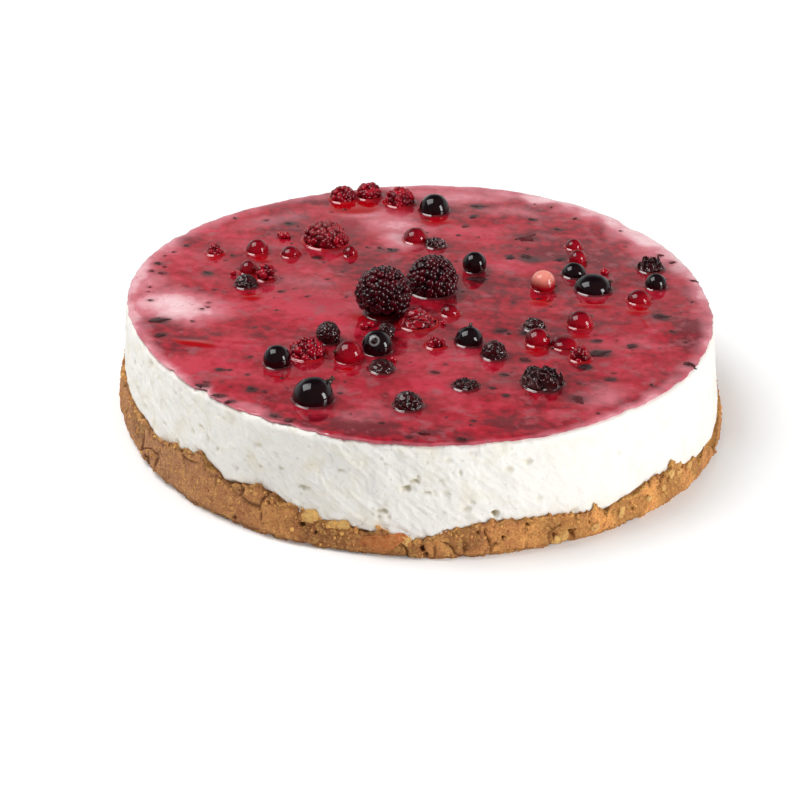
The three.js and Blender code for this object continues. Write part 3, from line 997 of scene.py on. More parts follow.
# scraps of skin and pulp in the jelly
flecks = {
    "models": 6,
    "more": 120,                # small ones beside those that are placed
    "moreReach": 0.105,
    "moreLong": (0.0009, 0.0024),
    "thick": 0.16,
    "rimThick": 0.5,            # further out than rimFrom they stand up
    "rimFrom": 0.100,
    "sunk": 0.10,
    "dark": tint(48, 26, 28),
    "red": tint(96, 6, 20),
    # x, y, length, and how red
    "placed": [
        (-0.0740, 0.0784, 0.0030, 0.5), (-0.0761, 0.0698, 0.0018, 0.2), (-0.0925, 0.0416, 0.0024, 0.2),
        (-0.1020, 0.0241, 0.0032, 0.3), (-0.0992, 0.0162, 0.0032, 0.9), (-0.0540, 0.0660, 0.0042, 0.1),
        (-0.0822, 0.0177, 0.0048, 0.1), (-0.1011, -0.0085, 0.0022, 0.3), (-0.0793, -0.0117, 0.0018, 0.5),
        (-0.0841, -0.0239, 0.0018, 0.4), (-0.0535, 0.0034, 0.0026, 0.2), (-0.0413, 0.0349, 0.0046, 0.1),
        (-0.0175, 0.0457, 0.0042, 0.6), (-0.0130, 0.0450, 0.0045, 0.1), (-0.0740, 0.0339, 0.0024, 0.2),
        (-0.0941, -0.0371, 0.0050, 0.3), (-0.0709, -0.0622, 0.0036, 0.4), (-0.0612, -0.0653, 0.0022, 0.7),
        (-0.0762, -0.0745, 0.0040, 0.4), (-0.0697, -0.0820, 0.0046, 0.3), (-0.0652, -0.0860, 0.0034, 0.3),
        (-0.0489, -0.0956, 0.0044, 0.3), (-0.0437, -0.0974, 0.0040, 0.6), (-0.0126, -0.0972, 0.0022, 0.4),
        (-0.0025, -0.1070, 0.0032, 0.7), (0.0022, -0.1040, 0.0042, 0.7), (0.0141, -0.1068, 0.0042, 0.3),
        (-0.0586, -0.0765, 0.0048, 0.1), (-0.0545, -0.0777, 0.0034, 0.9), (0.0206, 0.0895, 0.0065, 0.2),
        (0.0186, 0.0794, 0.0040, 0.2), (0.0158, 0.0693, 0.0036, 0.7), (0.0130, 0.0604, 0.0022, 0.3),
        (0.0426, 0.0786, 0.0036, 0.1), (0.0399, 0.0618, 0.0095, 0.8), (0.0527, 0.0697, 0.0034, 0.2),
        (0.0595, 0.0811, 0.0024, 0.8), (0.0407, 0.0415, 0.0078, 0.2), (0.0329, 0.0423, 0.0050, 0.1),
        (0.0527, 0.0413, 0.0046, 0.2), (0.0915, 0.0484, 0.0034, 0.8), (0.0961, 0.0423, 0.0030, 0.3),
        (0.1030, 0.0266, 0.0024, 0.4), (0.0884, -0.0070, 0.0060, 0.3), (0.0921, -0.0184, 0.0030, 0.4),
        (0.0766, -0.0319, 0.0044, 0.2), (0.0964, -0.0447, 0.0048, 0.4), (0.0644, -0.0386, 0.0080, 0.1),
        (0.0592, -0.0501, 0.0060, 0.0), (0.0375, -0.0456, 0.0050, 0.5), (0.0295, -0.0580, 0.0042, 0.3),
        (0.0047, -0.0584, 0.0042, 0.6), (0.0259, -0.0690, 0.0030, 0.3), (0.0304, -0.0739, 0.0034, 0.2),
        (0.0548, -0.0742, 0.0085, 0.7), (0.0185, -0.0933, 0.0024, 0.3), (0.0670, -0.0588, 0.0042, 0.2),
        (0.0284, -0.0228, 0.0062, 0.3), (0.0383, -0.0235, 0.0062, 0.0), (0.0205, 0.0205, 0.0080, 0.1),
        (0.0640, -0.0280, 0.0040, 0.3), (0.0880, -0.0060, 0.0060, 0.2), (-0.0960, -0.0245, 0.0080, 0.2),
    ],
}


def scatterFlecks():
    chance = random.Random(61)
    places = list(flecks["placed"])
    for number in range(flecks["more"]):
        angle, reach = chance.uniform(0, 6.283), flecks["moreReach"] * math.sqrt(chance.random())
        long, red = chance.uniform(*flecks["moreLong"]), 0.3 + 0.7 * chance.random()
        places.append((reach * math.cos(angle), reach * math.sin(angle), long, red))
    return places


fleckPlaces = scatterFlecks()


# berry jelly
jelly = {
    "grid": 286,
    "edgeDrop": 0.0004,
    "edgeWide": 0.0016,
    "skirt": 0.0022,
    "swell": 0.00022,
    "rimWaver": 0.0006,
    "edgeRadius": 0.11,         # of the rim, for the waver laid round it
    "juiceProud": 0.00030,
    # where the rim is nicked: degrees round, half width in degrees, depth
    "nicks": [
        (226, 1.0, 0.0022), (240, 1.4, 0.0010), (246, 2.4, 0.0018), (251, 1.0, 0.0010),
        (216, 0.8, 0.0012), (312, 1.5, 0.0010), (43, 3.0, 0.0012), (62, 1.5, 0.0008), (150, 2.0, 0.0009),
    ],
    # how far in from the rim the jelly is thin, and how pale it is there: degrees round, width, amount
    "thinRim": [
        (-25, 0.006, 0.50), (5, 0.009, 0.55), (35, 0.018, 1.00), (60, 0.014, 0.85), (90, 0.009, 0.60),
        (130, 0.006, 0.45), (160, 0.010, 0.60), (185, 0.012, 0.70), (205, 0.005, 0.60),
        (230, 0.0035, 0.65), (262, 0.002, 0.40), (290, 0.002, 0.30), (315, 0.006, 0.60),
        (335, 0.006, 0.50),
    ],
    # x, y, half length, half width, turn in degrees, amount
    "pale": [
        (-0.092, -0.012, 0.024, 0.017, -12, 1.0), (-0.105, 0.006, 0.014, 0.014, 40, 0.55),
        (-0.012, 0.068, 0.018, 0.014, -20, 0.62), (-0.008, 0.055, 0.012, 0.013, -30, 0.74),
        (-0.024, 0.078, 0.014, 0.007, 10, 0.5), (0.012, 0.100, 0.034, 0.009, -4, 0.55),
        (0.092, 0.048, 0.018, 0.013, 60, 0.55), (-0.058, -0.092, 0.020, 0.005, -30, 0.5),
        (0.064, -0.072, 0.014, 0.010, 40, 0.45), (-0.045, 0.012, 0.020, 0.008, 5, 0.22),
        (0.035, 0.085, 0.022, 0.007, -10, 0.30), (-0.060, 0.070, 0.020, 0.007, 25, 0.25),
        (0.078, -0.030, 0.012, 0.008, 10, 0.18), (-0.018, -0.092, 0.020, 0.006, 4, 0.20),
    ],
    # the same for soft clouds: bright above zero, dark below
    "clouds": [
        (-0.045, -0.004, 0.034, 0.022, 10, 0.55), (-0.035, -0.020, 0.022, 0.012, 0, 0.45),
        (-0.078, -0.062, 0.020, 0.012, -30, 0.35), (0.022, 0.002, 0.020, 0.014, 0, -0.55),
        (0.098, -0.018, 0.012, 0.022, 0, -0.60), (0.020, 0.062, 0.016, 0.012, 0, 0.35),
        (-0.020, 0.078, 0.016, 0.006, 8, 0.60), (0.008, -0.068, 0.022, 0.014, 0, 0.35),
        (0.062, -0.062, 0.016, 0.012, 20, -0.35), (0.030, -0.090, 0.030, 0.012, 8, -0.30),
        (-0.030, -0.098, 0.030, 0.008, -8, -0.35), (-0.088, -0.034, 0.022, 0.008, -12, -0.50),
        (0.045, 0.046, 0.026, 0.012, 0, -0.30), (-0.020, 0.040, 0.022, 0.010, 0, -0.35),
        (-0.070, 0.052, 0.022, 0.014, 20, 0.25), (0.078, 0.066, 0.018, 0.010, -40, -0.25),
        (0.014, 0.088, 0.018, 0.008, 0, -0.45), (-0.082, 0.020, 0.014, 0.010, 0, -0.30),
        (0.000, -0.103, 0.055, 0.008, 0, -0.45),
    ],
    # drops of clear juice, and smoky smears: x, y, half length, half width, turn in degrees, amount
    "juice": [
        (-0.029, 0.084, 0.011, 0.007, 8, 1.0), (-0.064, -0.002, 0.0042, 0.0034, 0, 1.0),
        (-0.081, -0.042, 0.008, 0.0026, -14, 1.0), (-0.0258, -0.0593, 0.0025, 0.0020, 0, 1.0),
        (-0.049, -0.0666, 0.004, 0.0012, 0, 0.8), (0.044, 0.003, 0.004, 0.004, 0, 0.9),
        (0.0804, -0.0025, 0.005, 0.004, 0, 0.9), (0.0822, -0.011, 0.0006, 0.008, 10, 0.7),
        (-0.0626, 0.0312, 0.004, 0.003, 0, 0.8), (-0.018, -0.014, 0.010, 0.005, 0, 0.8),
        (0.004, 0.074, 0.007, 0.004, 0, 0.8), (0.058, -0.024, 0.004, 0.002, 0, 0.7),
        (0.041, -0.038, 0.004, 0.003, 0, 0.8), (-0.081, 0.031, 0.0025, 0.0025, 0, 0.8),
        (0.064, 0.002, 0.008, 0.003, 0, 0.6),
    ],
    "smears": [
        (-0.097, -0.024, 0.009, 0.005, -14, 0.9), (-0.034, 0.062, 0.016, 0.014, 0, 0.7),
        (-0.068, 0.026, 0.014, 0.014, 0, 0.55), (0.038, -0.062, 0.014, 0.010, 15, 0.8),
        (0.064, -0.038, 0.008, 0.004, 0, 0.7), (0.066, 0.028, 0.016, 0.014, 0, 0.6),
        (0.086, 0.032, 0.012, 0.010, 0, 0.6), (0.040, 0.0635, 0.009, 0.006, 0, 0.7),
        (0.040, 0.042, 0.013, 0.004, 0, 0.7), (0.050, 0.068, 0.006, 0.004, 20, 0.5),
        (-0.082, 0.0175, 0.007, 0.005, 20, 0.8), (-0.016, 0.0455, 0.008, 0.004, 0, 0.8),
        (0.059, -0.0495, 0.006, 0.004, 0, 0.7), (0.041, -0.016, 0.010, 0.010, 0, 0.8),
        (0.021, 0.024, 0.008, 0.012, 0, 0.7), (0.026, 0.090, 0.008, 0.003, 14, 0.6),
        (-0.035, -0.034, 0.012, 0.008, 0, 0.5), (-0.046, -0.040, 0.010, 0.008, 20, 0.5),
        (-0.0225, 0.0515, 0.016, 0.0010, -20, 0.7),
    ],
    # painted shade round each berry: how far it reaches, and how dark it is
    "haloReach": 0.0036,
    "haloAmount": 0.62,
    "rose": tint(194, 44, 66),
    "crimson": tint(168, 15, 38),
    "plum": tint(112, 6, 24),
    "smoke": tint(96, 32, 34),
    "blush": tint(214, 126, 138),
    "cream": tint(242, 202, 206),
    "juiceRed": tint(168, 0, 10),
    "stain": tint(44, 22, 24),
    "dusky": tint(158, 78, 86),
}


def oval(places, x, y, long, wide, turn, amount, soft=1.1):
    # the amount in the middle of an oval, falling to 0 outside it
    along, across = math.cos(math.radians(turn)), math.sin(math.radians(turn))
    right, back = places[:, 0] - x, places[:, 1] - y
    away = np.hypot((right * along + back * across) / long, (back * along - right * across) / wide)
    return amount * smoothStep(1.15, 1.15 - soft, away)


def makeJellyMaterial():
    material, sheet, shader = newMaterial("berryJelly", {
        "Roughness": 0.06, "IOR": 1.36, "Specular IOR Level": 0.5, "Coat IOR": 1.9, "Coat Roughness": 0.04})
    cloud = sheet.grain(0.034, detail=3, stretch=(0.8, 1.1, 1))
    blotch = sheet.grain(0.013, detail=4, stretch=(0.75, 1.0, 1), rough=0.5)
    fine = sheet.grain(0.0036, detail=4)
    speck = sheet.grain(0.0012, detail=2)
    level = sheet.attribute("cloud") + (cloud - 0.5) * 1.5 + (blotch - 0.5) * 1.2 + (fine - 0.5) * 1.3
    dark = level.between(0.10, 0.55).mixed(jelly["plum"], jelly["crimson"])
    bright = level.between(0.45, 0.95).mixed(dark, jelly["rose"])
    streak = sheet.grain(0.0065, detail=4, stretch=(0.9, 1, 1), rough=0.6)
    ground = (streak.between(0.52, 0.70) * 0.75).mixed(bright, jelly["dusky"])
    pale = sheet.attribute("pale") * (0.72 + fine * 0.55) + (blotch.between(0.60, 0.78) * 0.16)
    paled = (pale * 1.5).clipped().mixed(ground, jelly["blush"])
    creamed = ((pale - 0.5) * 1.9).clipped().mixed(paled, jelly["cream"])
    # smoky smears, fleck halos and the painted shade round the berries
    smoked = (sheet.attribute("smoke") * (0.45 + fine * 0.8)).clipped().mixed(creamed, jelly["smoke"])
    juiced = sheet.attribute("juice").mixed(smoked, jelly["juiceRed"])
    stained = (sheet.attribute("stain") * (0.70 + fine * 0.5)).clipped().mixed(juiced, jelly["stain"])
    colour = (speck.between(0.62, 0.74) * 0.50).mixed(stained, jelly["smoke"])
    ripple = sheet.bump(sheet.grain(0.009, detail=2), 0.00007)
    # the coat is the painted highlight on the rims' front-left
    feed(sheet, shader, {"Base Color": colour, "Normal": ripple, "Coat Weight": sheet.attribute("climb")})
    return material


def addJellyDisc():
    # a square net drawn out to a round one, so that its faces stay even
    clearSelection()
    bpy.ops.mesh.primitive_grid_add(x_subdivisions=jelly["grid"], y_subdivisions=jelly["grid"], size=2)
    disc = bpy.context.object
    net = readPlaces(disc)
    x, y = net[:, 0].copy(), net[:, 1].copy()
    net[:, 0] = x * np.sqrt(1 - y * y / 2)
    net[:, 1] = y * np.sqrt(1 - x * x / 2)
    writePlaces(disc, net)
    return disc


def shapeJelly(disc):
    reach = roundTable(lambda angle: reachAt(jellyTree, angle, jellyTop - 0.0007) or filling["wallAbout"])
    net = readPlaces(disc)
    angles, spread = around(net)
    onCircle = ringPlaces(angles, jelly["edgeRadius"], 0)
    waver = lumps(onCircle, 0.007, 2.9) + 0.6 * lumps(onCircle, 0.0025, 5.3) - 0.3
    radius = reach(angles) + jelly["rimWaver"] * waver
    for towards, width, depth in jelly["nicks"]:
        radius -= depth * bell(angles, towards, width)
    places = np.column_stack([net[:, 0] * radius, net[:, 1] * radius, np.zeros(len(net))])
    fromEdge = (1 - spread) * radius
    heights = jellyTop + jelly["swell"] * lumps(places, 0.030, 2.5)
    heights += 0.5 * jelly["swell"] * lumps(places, 0.011, 6.1)
    heights -= jelly["edgeDrop"] * smoothStep(jelly["edgeWide"], 0, fromEdge) ** 1.5
    for drop in jelly["juice"]:
        heights += jelly["juiceProud"] * oval(places, *drop)
    places[:, 2] = heights
    writePlaces(disc, places)
    return places, fromEdge


def thinRimAt(angles, column):
    turns = [line[0] for line in jelly["thinRim"]]
    values = [line[column] for line in jelly["thinRim"]]
    return np.interp(np.degrees(angles), turns, values, period=360)


def paintJelly(disc, places, fromEdge):
    flat = places * np.array([1, 1, 0])
    angles = around(flat)[0]
    warped = flat.copy()
    warped[:, 0] += 0.0040 * lumps(flat, 0.011, 1.1) + 0.0012 * lumps(flat, 0.0030, 3.3)
    warped[:, 1] += 0.0040 * lumps(flat, 0.011, 5.5) + 0.0012 * lumps(flat, 0.0030, 8.8)
    pale, cloud, smoke, juice, stain = np.zeros((5, len(places)))
    for patch in jelly["pale"]:
        pale = np.maximum(pale, oval(warped, *patch))
    rim = smoothStep(1.0, 0.0, fromEdge / thinRimAt(angles, 1) + 0.45 * lumps(flat, 0.008, 9.1))
    pale = np.maximum(pale, rim * thinRimAt(angles, 2) * (1 + 0.5 * lumps(flat, 0.012, 4.2)))
    for patch in jelly["clouds"]:
        cloud += 0.6 * oval(warped, *patch)
    for drop in jelly["juice"]:
        juice = np.maximum(juice, oval(flat * 0.6 + warped * 0.4, *drop, soft=0.45))
    for smear in jelly["smears"]:
        smoke = np.maximum(smoke, oval(warped, *smear))
    # painted shade: the jelly is darker round a berry, more so on the side away from the light
    for berry in berries.values():
        right, back = flat[:, 0] - berry["middle"].x, flat[:, 1] - berry["middle"].y
        away = np.clip(np.hypot(right, back) - contactOf(berry), 0, 1)
        lee = 1 + 0.5 * right / np.maximum(np.hypot(right, back), 0.001)
        halo = jelly["haloAmount"] * np.exp(-away / (jelly["haloReach"] * lee)) * (0.75 + 0.25 * lee)
        smoke = np.maximum(smoke, halo)
    smoke *= 0.85 + 0.5 * lumps(flat, 0.006, 7.4)
    for x, y, long, red in fleckPlaces:
        near = np.flatnonzero((np.abs(flat[:, 0] - x) < 2.5 * long) & (np.abs(flat[:, 1] - y) < 2.5 * long))
        torn = flat[near] + (warped[near] - flat[near]) * 0.35
        smoked = oval(torn, x, y, long * 1.1, long * 0.9, 0, 0.75 - 0.3 * red)
        stained = oval(torn, x, y, long * 0.55, long * 0.50, 0, 0.95 - 0.6 * red, soft=0.7)
        smoke[near] = np.maximum(smoke[near], smoked)
        stain[near] = np.maximum(stain[near], stained)
    paintAll(disc, pale=pale, cloud=0.5 + cloud, smoke=smoke, juice=juice, stain=stain)


def closeJelly(disc):
    # a short skirt down into the filling, and a flat underside
    pick(disc)
    bpy.ops.object.mode_set(mode="EDIT")
    bpy.ops.mesh.select_mode(type="EDGE")
    bpy.ops.mesh.select_all(action="DESELECT")
    bpy.ops.mesh.select_non_manifold(extend=False)
    bpy.ops.mesh.extrude_edges_move(TRANSFORM_OT_translate={"value": (0, 0, -jelly["skirt"])})
    bpy.ops.transform.resize(value=(0.985, 0.985, 0.0), center_override=(0, 0, jellyTop - jelly["skirt"]))
    bpy.ops.mesh.edge_face_add()
    bpy.ops.mesh.select_all(action="SELECT")
    bpy.ops.mesh.normals_make_consistent(inside=False)
    leaveEdit()


def makeJelly():
    disc = addJellyDisc()
    places, fromEdge = shapeJelly(disc)
    paintJelly(disc, places, fromEdge)
    closeJelly(disc)
    return keepPiece(disc, "berryJelly", makeJellyMaterial(), ["jelly"])


berryJelly = makeJelly()


# the jelly climbs a little up each berry
rims = {
    "sides": 56,
    "steps": 8,
    "stretch": 1.1,             # from one ring to the next while it is modelled
    "inside": 0.0005,
    "reach": 0.0012,
    "height": 0.00066,
    "heightShare": 0.26,        # at most this share of what shows of the berry
    "edgeSink": 0.00004,        # the outer edge dips into the jelly
    "offEdge": 0.002,           # how far down where no jelly lies below
    "litFrom": 247,             # the side on which a highlight is painted as extra gloss, in degrees round
    "gloss": 0.6,
}


def addRimModel():
    clearSelection()
    bpy.ops.mesh.primitive_circle_add(vertices=rims["sides"], radius=1)
    rim = bpy.context.object
    editWith(rim, "EDGE", lambda edge: True)
    for step in range(rims["steps"]):
        bpy.ops.mesh.extrude_edges_move()
        bpy.ops.transform.resize(value=(rims["stretch"], rims["stretch"], 1), center_override=(0, 0, 0))
    bpy.ops.mesh.select_all(action="SELECT")
    bpy.ops.mesh.normals_make_consistent(inside=False)
    leaveEdit()
    if rim.data.polygons[0].normal.z < 0:
        rim.data.flip_normals()
    return rim


def addRim(model, berry, tree):
    rim = copyOf(model, Matrix.Identity(4))
    angles, spread = around(readPlaces(rim))
    part = np.clip(np.log(spread) / (math.log(rims["stretch"]) * rims["steps"]), 0, 1)
    away = (rims["reach"] + rims["inside"]) * part ** 1.2 - rims["inside"]
    wide = contactOf(berry) / ((berry["half"].x + berry["half"].y) / 2)
    x = berry["middle"].x + (berry["half"].x * wide + away) * np.cos(angles)
    y = berry["middle"].y + (berry["half"].y * wide + away) * np.sin(angles)
    ground = np.empty(len(x))
    for index, spot in enumerate(zip(x, y)):
        place = fromAbove(tree, *spot)[0]
        ground[index] = place.z if place else jellyTop - rims["offEdge"]
    tall = min(rims["height"], rims["heightShare"] * (berry["middle"].z + berry["half"].z - jellyTop))
    climb = (1 - np.clip(away, 0, 1) / rims["reach"]) ** 3
    writePlaces(rim, np.column_stack([x, y, ground + tall * climb - rims["edgeSink"] * part]))
    steep = smoothStep(0.0, 0.25, climb)
    # painted highlight: coat gloss only on the front-left of each rim, where the soft box above shows in it
    facing = np.cos(angles - math.radians(rims["litFrom"]))
    isRed = berry["node"].startswith(("red", "rasp"))
    shine = rims["gloss"] * smoothStep(0.10, 0.45, climb) * smoothStep(0.50, 0.88, facing)
    paintAll(rim, climb=shine, juice=0.75 * steep * isRed, stain=0.70 * steep * (not isRed))
    return rim


def makeRims():
    tree = meshTree(berryJelly)
    model = addRimModel()
    joined = joinCopies([addRim(model, berry, tree) for berry in berries.values()])
    removeModels([model])
    # the same clouds as the jelly underneath
    nearest = pointTree(readPlaces(berryJelly))
    owners = np.array([nearest.find(place)[1] for place in readPlaces(joined)])
    for name in ("pale", "cloud", "smoke", "juice", "stain"):
        paint(joined, name, np.maximum(readPaint(berryJelly, name)[owners], readPaint(joined, name)))
    keepPiece(joined, "jellyRims", berryJelly.data.materials[0])


makeRims()
print("jelly poured")


def makeFleckMaterial():
    material, sheet, shader = newMaterial("skinFleck", {"Roughness": 0.45, "Specular IOR Level": 0.25})
    red = sheet.attribute("red")
    fine = sheet.grain(0.0010, detail=3)
    ground = (red * (0.7 + fine * 0.5)).clipped().mixed(flecks["dark"], flecks["red"])
    feed(sheet, shader, {"Base Color": ground, "Normal": sheet.bump(fine, 0.0002)})
    return material


def addFleckModel(seed):
    # a torn scrap: a bead flattened, drawn out and curled
    clearSelection()
    bpy.ops.mesh.primitive_ico_sphere_add(subdivisions=3, radius=0.5)
    scrap = bpy.context.object
    editWith(scrap, "FACE", lambda face: face.center.x > 0.1)
    bpy.ops.transform.resize(value=(1.3, 0.6, 0.8), center_override=(0.1, 0, 0))
    leaveEdit()
    shape = readPlaces(scrap)
    shape *= (1 + 0.8 * lumps(shape, 0.45, seed * 5.1) + 0.5 * lumps(shape, 0.20, seed * 2.3))[:, None]
    shape[:, 2] = shape[:, 2] * 0.5 + 0.15 * lumps(shape * np.array([1, 1, 0]), 0.4, seed * 1.9)
    writePlaces(scrap, shape)
    return scrap


def makeFlecks():
    chance = random.Random(53)
    tree = meshTree(berryJelly)
    models = [addFleckModel(seed) for seed in range(flecks["models"])]
    copies = []
    for x, y, long, red in fleckPlaces:
        place, normal, index, distance = fromAbove(tree, x, y)
        if not place:
            continue
        turn = Matrix.Rotation(chance.gauss(0, 0.5), 4, "Z")
        share = flecks["rimThick"] if math.hypot(x, y) > flecks["rimFrom"] else flecks["thick"]
        thick = max(long, 0.003) * share
        shape = Matrix.Diagonal((long * 0.95, long * chance.uniform(0.40, 0.80), thick, 1))
        sunkPlace = place - normal * thick * flecks["sunk"]
        copy = copyOf(chance.choice(models), Matrix.Translation(sunkPlace) @ turn @ shape)
        paint(copy, "red", red)
        copies.append(copy)
    removeModels(models)
    keepPiece(joinCopies(copies), "skinFlecks", makeFleckMaterial())


makeFlecks()
print("flecks scattered")


# berries made of drupelets
drupelets = {
    "bramble": {"across": 0.0028, "pack": 0.52, "lean": 0.74,
                "jitter": 0.18, "core": 0.94, "collapse": 0.08},
    "raspberry": {"across": 0.0026, "pack": 0.50, "lean": 0.75,
                  "jitter": 0.24, "core": 0.93, "collapse": 0.14},
    "raspberry_piece": {"across": 0.0028, "pack": 0.50, "lean": 0.75,
                        "jitter": 0.30, "core": 0.90, "collapse": 0.22},
    "lowest": -0.45,            # none further round than this: that part is in the jelly
    "unripe": {"on": "bramble_1", "towards": (0.45, 0.55, 0.70), "within": 0.965, "amount": 0.55},
    "beadSunk": 0.42,           # how far in a bead's middle lies, as a share of its width
    "beadSizes": (0.82, 1.22),
    "dusty": {"raspberry_4": 0.8},
    "brambleDark": tint(16, 1, 5),
    "brambleRed": tint(80, 3, 18),
    "raspberryRed": tint(178, 9, 36),
    "raspberryDark": tint(92, 2, 16),
    "dust": tint(142, 70, 72),
}


def makeDrupeletMaterial(name, dark, bright, subsurface):
    material, sheet, shader = newMaterial(name, {
        "Coat Roughness": 0.03, "Specular IOR Level": 0.05, "Subsurface Weight": subsurface,
        "Subsurface Radius": (0.0018, 0.0004, 0.0004), "Subsurface Scale": 0.5})
    tone = sheet.attribute("tone")
    foot = sheet.attribute("foot")
    fine = sheet.grain(0.0012, detail=3)
    ground = (tone * 0.9 + fine * 0.3 - 0.1).clipped().mixed(dark, bright)
    dusted = (sheet.attribute("dust") * fine.between(0.35, 0.65)).mixed(ground, drupelets["dust"])
    fresh = sheet.attribute("fresh").mixed(dusted, drupelets["raspberryRed"])
    # painted shade: the core seen between the beads takes the dark colour
    colour = (foot * 0.8).mixed(fresh, dark)
    rough = 0.04 + fine * 0.06 + sheet.attribute("dust") * 0.35
    feed(sheet, shader, {"Base Color": colour, "Roughness": rough, "Coat Weight": sheet.attribute("wet"),
                         "Normal": sheet.bump(sheet.grain(0.0006, detail=2), 0.00005)})
    return material


def addDrupelet():
    # one bead, flattened towards its stalk
    clearSelection()
    bpy.ops.mesh.primitive_ico_sphere_add(subdivisions=2, radius=0.5)
    bead = bpy.context.object
    editWith(bead, "FACE", lambda face: face.center.z < -0.2)
    bpy.ops.transform.resize(value=(0.75, 0.75, 0.8), center_override=(0, 0, -0.3))
    leaveEdit()
    return bead


def spiralDirections(count):
    turn = math.pi * (3 - math.sqrt(5))
    for number in range(count):
        height = 1 - 2 * (number + 0.5) / count
        ring = math.sqrt(1 - height * height)
        yield Vector((ring * math.cos(turn * number), ring * math.sin(turn * number), height))


def addBeadedBerry(berry, kind, model, seed):
    chance = random.Random(seed)
    shape = drupelets[kind]
    half, middle = berry["half"], berry["middle"]
    bead = shape["across"]
    inner = half - Vector((1, 1, 1)) * bead * drupelets["beadSunk"]
    count = int(4 * math.pi * inner.x * inner.z / (shape["pack"] * bead * bead))
    clearSelection()
    bpy.ops.mesh.primitive_ico_sphere_add(subdivisions=3, radius=1)
    core = bpy.context.object
    core.data.transform(Matrix.Translation(middle) @ Matrix.Diagonal((*(inner * shape["core"]), 1)))
    # the core is painted dark, as shade between the beads
    paintAll(core, tone=0.0, foot=1.0, dust=0.0, fresh=0.0)
    copies = [core]
    dusty = drupelets["dusty"].get(berry["node"], 0.0)
    unripe = drupelets["unripe"]
    unripeSide = Vector(unripe["towards"]).normalized()
    for direction in spiralDirections(count):
        if direction.z < drupelets["lowest"]:
            continue
        direction = (direction + anyDirection(chance) * shape["jitter"] * bead / half.z).normalized()
        sunk = 1 - shape["collapse"] * chance.random()
        place = middle + Vector([way * reach * sunk for way, reach in zip(direction, inner)])
        size = bead * chance.uniform(*drupelets["beadSizes"])
        turned = direction.to_track_quat("Z", "Y").to_matrix().to_4x4()
        spin = Matrix.Rotation(chance.uniform(0, 6.28), 4, "Z")
        scale = Matrix.Diagonal((size * chance.uniform(0.9, 1.1), size, size * shape["lean"] * 1.15, 1))
        copy = copyOf(model, Matrix.Translation(place) @ turned @ spin @ scale)
        isUnripe = berry["node"] == unripe["on"] and direction.dot(unripeSide) > unripe["within"]
        paintAll(copy, tone=chance.random(), foot=0.0, dust=dusty * smoothStep(0.35, 0.85, direction.z),
                 fresh=unripe["amount"] * isUnripe)
        copies.append(copy)
    joined = joinCopies(copies)
    paintWet(joined)
    return joined


def makeBeadedBerries():
    bead = addDrupelet()
    brambleSkin, raspberrySkin = [
        makeDrupeletMaterial(kind + "Skin", drupelets[kind + "Dark"], drupelets[kind + "Red"], subsurface)
        for kind, subsurface in (("bramble", 0.0), ("raspberry", 0.2))]
    for seed, (name, berry) in enumerate(berries.items()):
        kind = name.rsplit("_", 1)[0]
        if kind not in ("bramble", "raspberry", "raspberry_piece") or name == "raspberry_piece_3":
            continue
        piece = addBeadedBerry(berry, kind, bead, seed)
        isBramble = kind == "bramble"
        keepPiece(piece, name + "_fruit", brambleSkin if isBramble else raspberrySkin,
                  [name])
    removeModels([bead])


makeBeadedBerries()


# loose red beads
bits = {
    # x, y, size
    "beads": [
        (0.0690, 0.0290, 0.0036), (-0.0560, 0.0520, 0.0030), (-0.0545, 0.0538, 0.0026),
        (-0.0572, 0.0542, 0.0024), (-0.0538, 0.0522, 0.0022), (-0.0725, 0.0165, 0.0026),
        (0.0030, -0.0175, 0.0026), (0.0075, -0.0195, 0.0022), (-0.0100, -0.0510, 0.0030),
        (-0.0215, -0.0255, 0.0034), (-0.0190, -0.0235, 0.0030),
    ],
    "proud": 0.25,
}


def makeBits():
    bead = addDrupelet()
    copies = []
    for x, y, size in bits["beads"]:
        place = Vector((x, y, jellyTop + bits["proud"] * size))
        copy = copyOf(bead, Matrix.Translation(place) @ Matrix.Diagonal((size, size, size, 1)))
        paintAll(copy, tone=0.8, foot=0.0, dust=0.0, fresh=0.0)
        copies.append(copy)
    removeModels([bead])
    joined = joinCopies(copies)
    paintWet(joined)
    keepPiece(joined, "berryBits", bpy.data.materials["raspberrySkin"])


makeBits()
print("drupelet berries placed")


# smooth berries
currants = {
    "segments": 40,
    "rings": 32,
    "uneven": 0.00010,          # of the skin
    "glowTo": (0.52, -0.70, -0.48),     # painted light: brightest low down, to the right and in front
    "red": tint(178, 3, 30),
    "redDeep": tint(80, 0, 12),
    "black": tint(9, 5, 9),
    "blackRed": tint(30, 4, 9),
    "dryEnd": tint(74, 46, 34),
    "pink": tint(238, 146, 130),
    "scar": tint(176, 172, 174),
    "scarOn": "black_currant_4",
    "pinkOn": "red_currant_11",
    "longEnds": {"black_currant_4": 0.2, "black_currant_5": 2.4, "black_currant_6": 1.6},
    # towards which side the flower end points: degrees round, degrees up
    "ends": {
        "red_currant_1": (-60, -30), "red_currant_6": (200, 20), "red_currant_8": (-30, 35),
        "red_currant_10": (20, 30), "black_currant_1": (60, 30), "black_currant_4": (255, 42),
        "black_currant_5": (25, 40), "black_currant_6": (80, 60), "black_currant_8": (10, 25)},
}


